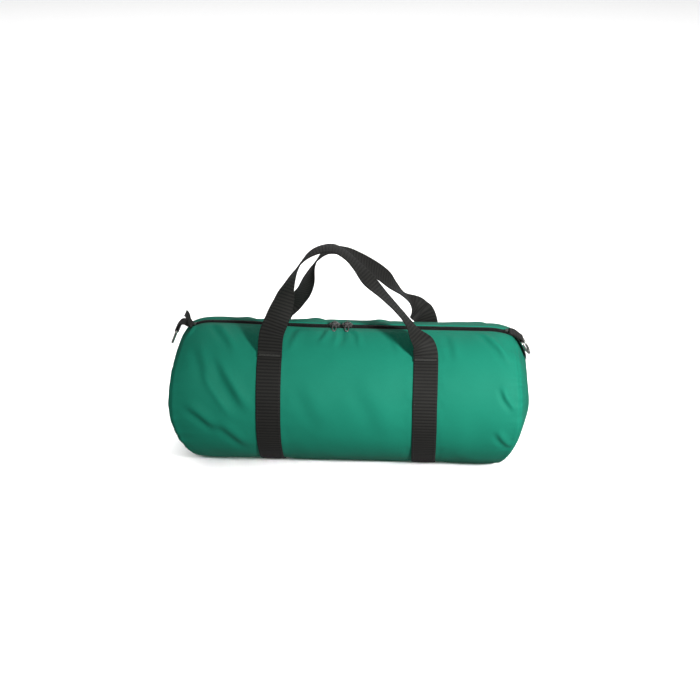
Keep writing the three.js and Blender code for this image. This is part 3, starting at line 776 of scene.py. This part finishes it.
def zip_coil(face):
    """The coil's teeth: a loop of wire each, reaching just past the centre line."""
    count = int(2 * (ZIP_END_X - 4 * MM) / COIL_PITCH)
    lag = COIL_PITCH / 2 if FACES[face] > 0 else 0
    lean = np.linspace(-0.18, 0.18, len(COIL_LOOP)) * COIL_PITCH
    tooth = np.column_stack([lean, COIL_LOOP])
    points, faces = tube(tooth, COIL_WIRE, sides=6, up=(1, 0, 0))
    starts = (np.arange(count) - count / 2) * COIL_PITCH + lag
    shapes = [(points + [start, 0, 0], faces) for start in starts]
    flat, faces = joined(shapes)
    made = piece(f"{face}_zip_teeth", laid(flat, face), faces, COIL)
    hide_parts(f"{face}_zip_coil")
    return on_lip(made)


def zip_stitching(face):
    """Two rows of topstitching through the folded edge of the cover."""
    rows = []
    for angle, height in ((6.1, 0.42 * MM), (8.3, 0.1 * MM)):
        end = ZIP_END_X - 2 * MM
        rows.append(stitch_row((-end, arc_of(angle)), (end, arc_of(angle)), 3.4 * MM, 2.6 * MM,
                               height, 0.28 * MM))
    flat, faces = joined(rows)
    made = piece(f"{face}_zip_stitching", laid(flat, face), faces, GREEN_THREAD)
    return on_lip(made)


def zip_stop(name, side):
    """A crimped staple over the closed teeth, shaped over its own length."""
    low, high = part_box(f"{name}_zip_stop")
    middle, half = (low + high) / 2, (high - low) / 2
    across = np.linspace(-1, 1, 15)
    crown = half.z * 2 * (1 - 0.35 * np.abs(across) ** 3)
    rings = []
    for share, grow in ((-1, 0.55), (-0.86, 0.9), (-0.5, 1), (0.5, 1), (0.86, 0.9), (1, 0.55)):
        top = np.column_stack([across * half.y, crown * grow])
        base = np.column_stack([across[::-1] * half.y, np.full(15, -0.8 * MM)])
        ring = np.concatenate([top, base])
        x = np.full(len(ring), middle.x + share * half.x)
        rings.append(np.column_stack([x, ring[:, 0], low.z + 0.7 * MM + ring[:, 1]]))
    made = piece(f"{name}_zip_staple", *loops(rings), BLACK_METAL, sharp=50)
    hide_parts(f"{name}_zip_stop")
    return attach(made, "case")


# ---- Sliders and pulls ----------------------------------------------------------------------------

def outline_ring(xs, ys, z):
    return np.column_stack([xs, ys, np.full(len(xs), z)])


def bevelled(xs, ys, low, high, bevel):
    """A plate with rounded edges from an outline, between two heights."""
    rings = []
    size = min(np.ptp(xs), np.ptp(ys)) / 2
    for height, inset in ((low, bevel), (low + bevel * 0.3, bevel * 0.3), (low + bevel, 0),
                          (high - bevel, 0), (high - bevel * 0.3, bevel * 0.3), (high, bevel)):
        grow = 1 - inset / size
        cx, cy = np.mean(xs), np.mean(ys)
        rings.append(outline_ring(cx + (xs - cx) * grow, cy + (ys - cy) * grow, height))
    return loops(rings)


def annular(outer, inner, low, high, bevel):
    """A plate with a window: two outlines with as many points, rounded at the edges."""
    wall_middle = (outer + inner) / 2
    rings = []
    for edge, height, inset in ((inner, low, bevel), (inner, low + bevel, 0), (inner, high - bevel, 0),
                                (inner, high, bevel), (outer, high, bevel), (outer, high - bevel, 0),
                                (outer, low + bevel, 0), (outer, low, bevel)):
        way = wall_middle - edge
        way = way / np.maximum(np.linalg.norm(way, axis=1), 1e-6)[:, None]
        moved = edge + way * inset
        rings.append(outline_ring(moved[:, 0], moved[:, 1], height))
    return loops(rings, cyclic=True)


def slider(name, side):
    """A cast slider: a wedge-shaped top plate, its flanges round the teeth, and a crown."""
    low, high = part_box(f"{name}_slider")
    length = high.x - low.x
    middle = (low.x + high.x) / 2
    plate_top = JOINTS[f"{name}_pull_swing"]["pos_m"][2] - 3.1 * MM
    thickness = 1.5 * MM
    turn = np.linspace(0, 2 * math.pi, 56, endpoint=False)
    along = np.cos(turn)
    half_width = (4.55 + 0.85 * smooth(along * -side, -0.4, 0.7)) * MM
    xs = along * length / 2
    ys = np.sign(np.sin(turn)) * np.abs(np.sin(turn)) ** 0.42 * half_width
    plate = bevelled(xs, ys, plate_top - thickness, plate_top, 0.45 * MM)
    flanges = []
    for edge in (-1, 1):
        reach = np.linspace(-0.86, 0.86, 24)
        wide = (4.0 + 0.85 * smooth(reach * -side, -0.4, 0.7)) * MM
        path = np.column_stack([reach * length / 2, edge * wide])
        rings = []
        for (x, y) in path:
            lip = [(0.55, 0), (0.72, -1.9), (0.4, -3.1), (-0.35, -3.3), (-0.5, -2.6), (-0.3, -0.3)]
            rings.append([(x, y + edge * a * MM, plate_top - 1.2 * MM + b * MM) for a, b in lip])
        flanges.append(loops(rings))
    arch = np.linspace(0, math.pi, 22)
    path = np.column_stack([5.1 * MM * np.cos(arch), np.zeros(22),
                            plate_top + 3.15 * MM * np.minimum(1, 1.25 * np.sin(arch)) - 0.2 * MM])
    crown = tube(path, 0.95 * MM, sides=10, up=(0, 1, 0))
    ridge_x = np.linspace(-0.5, 0.5, 12) * length * 0.9
    ridge = tube(np.column_stack([ridge_x, np.zeros(12), np.full(12, plate_top - 0.1 * MM)]),
                 0.6 * MM * np.sin(np.linspace(0.2, math.pi - 0.2, 12)), sides=8)
    points, faces = joined([plate, *flanges, crown, ridge])
    points = points + [middle, 0, 0]
    made = piece(f"{name}_slider_body", points, faces, BLACK_METAL, sharp=45)
    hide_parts(f"{name}_slider")
    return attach(made, f"{name}_slider")


def pull(name):
    """A stamped pull with a window near its tip and an eye round the crown's bar."""
    pivot = np.array(JOINTS[f"{name}_pull_swing"]["pos_m"])
    turn = np.linspace(0, 2 * math.pi, 64, endpoint=False)
    y = 13.6 - 11.2 * np.cos(turn)
    wide = 1.5 + 2.1 * smooth(y, 3, 12)
    x = np.sign(np.sin(turn)) * np.abs(np.sin(turn)) ** 0.5 * wide
    outer = np.column_stack([x, y]) * MM
    inner_y = 17.0 - 5.0 * np.cos(turn)
    inner_x = np.sign(np.sin(turn)) * np.abs(np.sin(turn)) ** 0.6 * 1.95
    inner = np.column_stack([inner_x, inner_y]) * MM
    plate = annular(outer, inner, -0.6 * MM, 0.6 * MM, 0.25 * MM)
    ring_turn = np.linspace(0, 2 * math.pi, 28, endpoint=False)
    ring = np.column_stack([np.zeros(28), np.cos(ring_turn), np.sin(ring_turn)]) * 2.15 * MM
    eye = tube(ring, 0.62 * MM, sides=10, closed=True, up=(1, 0, 0))
    points, faces = joined([plate, eye])
    tilt = math.radians(PULL_TILT)
    turned = np.column_stack([
        points[:, 0],
        -points[:, 1] * math.cos(tilt) + points[:, 2] * math.sin(tilt),
        -points[:, 1] * math.sin(tilt) - points[:, 2] * math.cos(tilt),
    ])
    made = piece(f"{name}_pull_tab", turned + pivot, faces, BLACK_METAL, sharp=50)
    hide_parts(f"{name}_pull")
    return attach(made, f"{name}_pull")


# ---- Webbing --------------------------------------------------------------------------------------

RIB_DEPTH = 0.42 * MM
STRAP_COLUMNS = np.array([-1, -0.985, -0.95, -0.86, -0.6, -0.3, 0, 0.3, 0.6, 0.86, 0.95, 0.985, 1])
STRAP_EDGE = np.array([0.3, 0.7, 0.95, 1, 1, 1, 1, 1, 1, 1, 0.95, 0.7, 0.3])
RIB_STEPS = 8


def ribs(distance):
    """The webbing's face below its crests: rounded ribs with narrow grooves across the strap."""
    return -RIB_DEPTH * (1 - np.abs(np.sin(np.pi * distance / RIB_PITCH)) ** 0.55)


def half_band(face, name, side):
    """Half a band, from the middle of the bottom up to under the handle's end."""
    arcs = np.arange(arc_of(BAND_TOP_ANGLE), HALF_ROUND, RIB_PITCH / RIB_STEPS)
    arcs = np.append(arcs, HALF_ROUND)[:, None]
    columns = STRAP_COLUMNS[None, :]
    x = side * BAND_X + columns * BAND_WIDTH / 2 + 0.4 * MM * noise(arcs / (33 * MM), side, 31)
    angles = np.degrees(arcs / RADIUS) * FACES[face]
    thick = WEBBING * STRAP_EDGE[None, :]
    crest = GAP + WEBBING / 2 + thick / 2
    base = GAP + WEBBING / 2 - thick / 2
    plain = (np.abs(columns) < 0.9) * ribs(arcs)
    outer = skin(angles, x, crest + plain)
    inner = skin(angles, x, base + 0 * arcs)
    uv = twice(columns * BAND_WIDTH / 2, arcs)
    made = piece(f"{face}_{name}_band_webbing", *slab(outer, inner), STRAP, uv)
    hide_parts(f"{name}_band")
    on_lip(made)
    rows = []
    for edge in (-1, 1):
        line = side * BAND_X + edge * 0.86 * BAND_WIDTH / 2
        rows.append(stitch_row((line, arc_of(43)), (line, HALF_ROUND), 3.6 * MM, 2.8 * MM,
                               GAP + WEBBING - 0.05 * MM, 0.3 * MM))
    flat, faces = joined(rows)
    sewn = piece(f"{face}_{name}_band_stitching", laid(flat, face), faces, THREAD)
    return on_lip(sewn)


def curve_through(stations, step):
    """A centripetal Catmull-Rom curve through [x, y, z, turn] stations, at even steps of length."""
    points = np.array(stations, float)
    points = np.concatenate([[2 * points[0] - points[1]], points, [2 * points[-1] - points[-2]]])
    dense = []
    for p0, p1, p2, p3 in zip(points, points[1:], points[2:], points[3:]):
        knots = [0.0]
        for a, b in ((p0, p1), (p1, p2), (p2, p3)):
            knots.append(knots[-1] + max(np.linalg.norm((b - a)[:3]), 1e-9) ** 0.5)
        t0, t1, t2, t3 = knots
        t = np.linspace(t1, t2, 60, endpoint=False)[:, None]
        a1 = (t1 - t) / (t1 - t0) * p0 + (t - t0) / (t1 - t0) * p1
        a2 = (t2 - t) / (t2 - t1) * p1 + (t - t1) / (t2 - t1) * p2
        a3 = (t3 - t) / (t3 - t2) * p2 + (t - t2) / (t3 - t2) * p3
        b1 = (t2 - t) / (t2 - t0) * a1 + (t - t0) / (t2 - t0) * a2
        b2 = (t3 - t) / (t3 - t1) * a2 + (t - t1) / (t3 - t1) * a3
        dense.append((t2 - t) / (t2 - t1) * b1 + (t - t1) / (t2 - t1) * b2)
    dense = np.concatenate([*dense, points[-2:-1]])
    lengths = np.append(0, np.cumsum(np.linalg.norm(np.diff(dense[:, :3], axis=0), axis=1)))
    even = np.arange(0, lengths[-1], step)
    return even, np.column_stack([np.interp(even, lengths, dense[:, k]) for k in range(4)])


def strap_frame(path):
    """Centre, width direction and normal along a strap."""
    centre = path[:, :3]
    along = np.gradient(centre, axis=0)
    along /= np.linalg.norm(along, axis=1)[:, None]
    turn = np.radians(path[:, 3])
    width = np.column_stack([np.cos(turn), np.sin(turn), np.zeros(len(turn))])
    width -= along * np.sum(along * width, axis=1)[:, None]
    width /= np.linalg.norm(width, axis=1)[:, None]
    return centre, width, np.cross(along, width)


def strap(name, distance, path, width, thickness, cup=0.0):
    """A ribbed strap along a path. Cup bows it across its width."""
    centre, across, normal = strap_frame(path)
    columns = STRAP_COLUMNS[None, :, None]
    half = thickness / 2 * STRAP_EDGE[None, :, None]
    plain = ((np.abs(STRAP_COLUMNS) < 0.9)[None, :] * ribs(distance)[:, None])[:, :, None]
    bow = (np.broadcast_to(cup, len(distance))[:, None] * (1 - STRAP_COLUMNS**2)[None, :])[:, :, None]
    middle = centre[:, None] + across[:, None] * columns * width / 2 + normal[:, None] * bow
    outer = middle + normal[:, None] * (half + plain)
    inner = middle - normal[:, None] * (half + plain)
    uv = twice(STRAP_COLUMNS[None, :] * width / 2, distance[:, None])
    return piece(name, *slab(outer, inner), STRAP, uv)


HANDLE_THICKNESS = 1.8 * MM
FRONT_HANDLE = [
    (-118, -65, 230, 8), (-109, -62, 254, 14), (-99, -55, 280, 36), (-92, -46, 301, 62),
    (-81, -37, 324, 80), (-64, -29, 345, 88), (-45, -24, 355, 90), (-25, -22, 357, 90),
    (-6, -23, 347, 88), (11, -26, 331, 80), (30, -32, 310, 66), (53, -40, 289, 84),
    (75, -48, 269, 92), (92, -55, 251, 88), (104, -60, 233, 68), (117, -65, 217, 26),
]
REAR_HANDLE = [
    (-113, 69, 217, 0), (-98, 68, 228, 6), (-86, 61, 242, 22), (-75, 51, 264, 46),
    (-67, 40, 294, 72), (-52, 31, 321, 86), (-33, 25, 337, 90), (-11, 24, 336, 84),
    (11, 26, 324, 70), (36, 31, 306, 64), (60, 38, 284, 72), (76, 45, 266, 96), (90, 52, 247, 100),
    (101, 58, 233, 60), (110, 64, 221, 20), (115, 65, 217, 16),
]
PATCH = [(41.0, 2.9), (39.4, 2.9), (37.9, 3.1), (36.7, 4.0)]   # angle, height of the strap's middle


def handle(face, stations):
    """A handle: both its ends lie sewn on the bands and bend up away from them."""
    sign = FACES[face]
    ends = {}
    for name, side in SIDES.items():
        ends[name] = [(*skin(a * sign, side * BAND_X, h * MM), 0) for a, h in PATCH]
    middle = [(x * MM, y * MM, z * MM, turn) for x, y, z, turn in stations]
    distance, path = curve_through([*ends["left"], *middle, *ends["right"][::-1]], RIB_PITCH / RIB_STEPS)
    total = distance[-1]
    from_end = np.minimum(distance, total - distance)
    loose = smooth(from_end, 12 * MM, 60 * MM)
    path[:, 3] += loose * 5 * noise(distance / (55 * MM), sign * 3, 41)
    path[:, 2] += loose * 0.8 * MM * noise(distance / (38 * MM), sign * 3, 42)
    cup = sign * loose * (1.0 + 1.2 * noise(distance / (70 * MM), sign, 43)) * MM
    made = strap(f"{face}_handle_webbing", distance, path, BAND_WIDTH, HANDLE_THICKNESS, cup)
    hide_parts(f"{face}_handle", f"{face}_left_tack", f"{face}_right_tack")
    share = smooth(from_end, 7 * MM, 26 * MM)
    share = np.repeat(share, len(STRAP_COLUMNS))
    return bend(made, np.concatenate([share, share]))


def handle_tacks(face):
    """The bar tack across each end of a handle."""
    shapes = []
    height = GAP + WEBBING + HANDLE_THICKNESS - 0.1 * MM
    half = BAND_WIDTH / 2 - 2.5 * MM
    for side in SIDES.values():
        middle = side * BAND_X
        xs = np.arange(middle - half, middle + half, 0.95 * MM)
        low, high = (arc_of(angle) for angle in BAR_TACK_ANGLES)
        starts = np.column_stack([xs, np.full(len(xs), high), np.full(len(xs), height)])
        ends = np.column_stack([xs + 0.5 * MM, np.full(len(xs), low), np.full(len(xs), height)])
        shapes.append(stitches(starts, ends, 0.32 * MM))
    flat, faces = joined(shapes)
    made = piece(f"{face}_handle_tacks", laid(flat, face), faces, PALE_THREAD)
    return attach(made, f"{face}_lip")


# ---- Rings and their tabs -------------------------------------------------------------------------

TAB_WIDTH = 25 * MM
TAB_THICKNESS = 1.5 * MM
RING_WIRE = 2 * MM
RING_HALF_WIDTH = 15.5 * MM
RING_DEPTH = 26 * MM
RING_CORNER = 2.5 * MM
RIGHT_RING_TILT = -57
LEFT_RING_TILT = -112


def tab_strap(name, places):
    """Narrow webbing through places in X and Z."""
    stations = [(x, 0, z, 90) for x, z in places]
    distance, path = curve_through(stations, RIB_PITCH / RIB_STEPS)
    made = strap(name, distance, path, TAB_WIDTH, TAB_THICKNESS)
    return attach(made, "case")


def ring_tab(name, side, line, tail):
    """Webbing from the zipper's end, round the ring's bar and back under itself, and its tail."""
    eye = JOINTS[f"{name}_ring_swing"]["pos_m"]
    centre = np.array([eye[0], eye[2]])
    reach = RING_WIRE + 0.25 * MM + TAB_THICKNESS / 2
    run = np.array(line) * MM * [side, 1]
    way = centre - run[-1]
    length = np.hypot(*way)
    heading = math.atan2(way[1], way[0])
    swing = side * (math.pi / 2 + math.asin(min(1, reach / length)))
    turns = np.linspace(heading + swing, heading - swing, 26)
    loop = centre + reach * np.column_stack([np.cos(turns), np.sin(turns)])
    normal = np.array([-way[1], way[0]]) / length * side
    apart = normal * (TAB_THICKNESS / 2 + 0.05 * MM)
    top = run + apart
    under = (run - apart)[::-1]
    outline = np.concatenate([top, loop, under])
    made = tab_strap(f"{name}_tab_webbing", outline)
    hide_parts(f"{name}_ring_tab")
    return tab_strap(f"{name}_tab_tail", np.array(tail) * MM * [side, 1])


def d_ring(name, tilt):
    """A welded D-ring, its straight bar in the tab's eye."""
    eye = JOINTS[f"{name}_ring_swing"]["pos_m"]
    corner, half, straight = RING_CORNER, RING_HALF_WIDTH, RING_DEPTH - RING_HALF_WIDTH
    bar = [(y, 0) for y in np.linspace(-(half - corner), half - corner, 16)]
    bend_in = np.linspace(-math.pi / 2, 0, 7)[1:]
    right = [(half - corner + corner * math.cos(a), corner + corner * math.sin(a)) for a in bend_in]
    rise = [(half, r) for r in np.linspace(corner, straight, 6)[1:-1]]
    bow = np.linspace(0, math.pi, 48)
    curve = [(half * math.cos(a), straight + half * math.sin(a)) for a in bow]
    left = [(-y, r) for y, r in (right + rise)[::-1]]
    line = np.array(bar[:-1] + right + rise + curve + left)
    angle = math.radians(tilt)
    path = np.column_stack([line[:, 1] * math.cos(angle), line[:, 0], line[:, 1] * math.sin(angle)])
    points, faces = tube(path, RING_WIRE, sides=16, closed=True, up=(-math.sin(angle), 0, math.cos(angle)))
    made = piece(f"{name}_ring_wire", points + np.array(eye), faces, STEEL)
    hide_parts(f"{name}_d_ring")
    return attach(made, f"{name}_ring")


# ---- Cloth simulation -----------------------------------------------------------------------------

SETTLE_ROWS, SETTLE_COLUMNS = 100, 81
SETTLE_FRAMES = 20
SETTLE_LIMIT = 6 * MM


def settle_grid(spare=False):
    """The plain cover on an even grid; spare is the same cloth cut with extra length in it."""
    angles = np.linspace(-180, 180, SETTLE_ROWS, endpoint=False)[:, None]
    x = np.linspace(-1, 1, SETTLE_COLUMNS)[None, :] * seam_x(angles)
    points = wall(angles, x, 0)
    if spare:
        at_seam = np.exp(-(SEAM_X - np.abs(x)) / (32 * MM))
        excess = 1.018 + 0.05 * at_seam
        skew = 5 * smooth(x, -125 * MM, -250 * MM) - 3 * smooth(x, 170 * MM, 260 * MM)
        points = wall(angles + skew, x, (excess - 1) * RADIUS)
        points[..., 0] *= 1.012
    return angles, x, points


def settle():
    """Fills the cover with air between what holds it, and returns how far out each point moves.

    The spare length has almost no effect here: no point moves by as much as 0.1 mm, so the wrinkles
    that can be seen are those of coded_relief.
    """
    angles, x, plain = settle_grid()
    index = np.arange(plain.shape[0] * plain.shape[1]).reshape(plain.shape[:2])
    index = np.concatenate([index, index[:1]])
    faces = quads(index[:-1, :-1], index[:-1, 1:], index[1:, 1:], index[1:, :-1])
    made = piece("settling", plain.reshape(-1, 3), faces, FABRIC)
    held = (np.abs(angles) < 8) | (np.abs(angles) > 148) | (np.abs(x) > 0.985 * seam_x(angles))
    held = held | (np.abs(np.abs(x) - BAND_X) < BAND_WIDTH / 2 + 2 * MM)
    made.vertex_groups.new(name="held").add(np.flatnonzero(held).tolist(), 1.0, "REPLACE")
    made.shape_key_add(name="as_sewn")
    spare = made.shape_key_add(name="spare")
    spare.data.foreach_set("co", settle_grid(spare=True)[2].ravel().astype(np.float32))
    cloth = made.modifiers.new("cloth", "CLOTH")
    cloth.settings.quality = 6
    cloth.settings.mass = 0.3
    cloth.settings.bending_stiffness = 0.35
    cloth.settings.vertex_group_mass = "held"
    cloth.settings.rest_shape_key = spare
    cloth.settings.use_pressure = True
    cloth.settings.uniform_pressure_force = 4
    cloth.settings.effector_weights.gravity = 0
    cloth.point_cache.frame_start = 1
    cloth.point_cache.frame_end = SETTLE_FRAMES
    scene = bpy.context.scene
    for number in range(1, SETTLE_FRAMES + 1):
        scene.frame_set(number)
    settled = made.evaluated_get(bpy.context.evaluated_depsgraph_get())
    flat = np.zeros(plain.size)
    settled.data.vertices.foreach_get("co", flat)
    moved = flat.reshape(plain.shape) - plain
    scene.frame_set(1)
    mesh = made.data
    bpy.data.objects.remove(made)
    bpy.data.meshes.remove(mesh)
    turn = np.radians(angles)
    height = -moved[..., 1] * np.sin(turn) + moved[..., 2] * np.cos(turn)
    height = np.where(held, 0, np.nan_to_num(height))
    return SETTLE_LIMIT * np.tanh(height / SETTLE_LIMIT)


# ---- Assembly -------------------------------------------------------------------------------------

SETTLED["table"] = settle()

for face in FACES:
    made = cover(face)
    sewn = zip_stitching(face)
    padding(face)
    lining(face)
    zip_tape(face)
    zip_coil(face)
    handle_tacks(face)
    for name, side in SIDES.items():
        half_band(face, name, side)

for name, side in SIDES.items():
    made = end_layer(f"{name}_end_cover", side, COVER_LAYER, 1, (1, 1), FABRIC, 46, 300)
    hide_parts(f"{name}_end_shell")
    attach(made, "case")
    made = end_layer(f"{name}_end_pad", side, PAD_LAYER, 0.93, (0.8, 0.3), FOAM, 24, 120)
    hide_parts(f"{name}_end_foam")
    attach(made, "case")
    made = end_layer(f"{name}_end_liner", side, LINER_LAYER, 0.905, (0.3, 0.3), LINING, 24, 160)
    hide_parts(f"{name}_end_lining")
    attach(made, "case")
    seam_tape(name, side)
    zip_stop(name, side)
    slider(name, side)
    pull(name)

handle("front", FRONT_HANDLE)
handle("rear", REAR_HANDLE)
ring_tab("left", -1, [(252, 215.6), (258, 217.6), (264, 220.6), (270, 219.6), (273.6, 216)],
         [(254.5, 217.6), (256.6, 221), (257.6, 227), (259.4, 232), (262.6, 235.6)])
ring_tab("right", 1, [(252, 215.6), (257, 214.6), (261.5, 212.6), (266.5, 208.6)],
         [(269.9, 199.4), (272, 194.6), (274.8, 188), (277.6, 181), (280.4, 173)])
d_ring("left", LEFT_RING_TILT)
d_ring("right", RIGHT_RING_TILT)


# ---- Floor, light and camera ----------------------------------------------------------------------

def floor():
    reach = 6.0
    corners = [(-reach, -reach, 0), (reach, -reach, 0), (reach, reach, 0), (-reach, reach, 0)]
    made = piece("floor", corners, [(0, 1, 2, 3)], FLOOR)
    made.location.z = -0.3 * MM
    made.visible_diffuse = False
    made.visible_glossy = False
    return made


def lamp(name, kind, place, size, power, target=(0, 0, 0.12), cone=None):
    light = bpy.data.lights.new(name, kind)
    if kind == "AREA":
        light.size = size
    else:
        light.shadow_soft_size = size
        light.spot_size = math.radians(cone)
        light.spot_blend = 1.0
    light.energy = power
    made = bpy.data.objects.new(name, light)
    made.location = place
    made.rotation_euler = (Vector(target) - Vector(place)).to_track_quat("-Z", "Y").to_euler()
    bpy.context.scene.collection.objects.link(made)
    return made


def camera(azimuth, elevation, distance, target, lens):
    a, e = math.radians(azimuth), math.radians(elevation)
    back = Vector((math.sin(a) * math.cos(e), -math.cos(a) * math.cos(e), math.sin(e)))
    data = bpy.data.cameras.new("camera")
    data.lens = lens
    data.clip_end = 30
    made = bpy.data.objects.new("camera", data)
    made.location = Vector(target) + back * distance
    made.rotation_euler = (-back).to_track_quat("-Z", "Y").to_euler()
    bpy.context.scene.collection.objects.link(made)
    bpy.context.scene.camera = made


lit_floor = bpy.data.collections.new("lit_floor")
lit_floor.objects.link(floor())
lamp("key", "SPOT", (1.2, -1.55, 1.15), 0.16, 235, target=(0.17, 0, 0.12), cone=29)
lamp("soft_front", "AREA", (-0.3, -2.2, 1.5), 1.6, 8)
lamp("back", "AREA", (0.2, 2.2, 1.6), 1.8, 14)
lamp("over_floor", "AREA", (0, 0, 4), 8, 560).light_linking.receiver_collection = lit_floor
world = bpy.data.worlds.new("studio")
world.use_nodes = True
world.node_tree.nodes["Background"].inputs["Color"].default_value = (1, 1, 1, 1)
world.node_tree.nodes["Background"].inputs["Strength"].default_value = 0.2
bpy.context.scene.world = world
bpy.context.scene.view_settings.view_transform = "Standard"
camera(azimuth=3.1, elevation=24, distance=2.2, target=(0, 0, 0.177), lens=70.7)
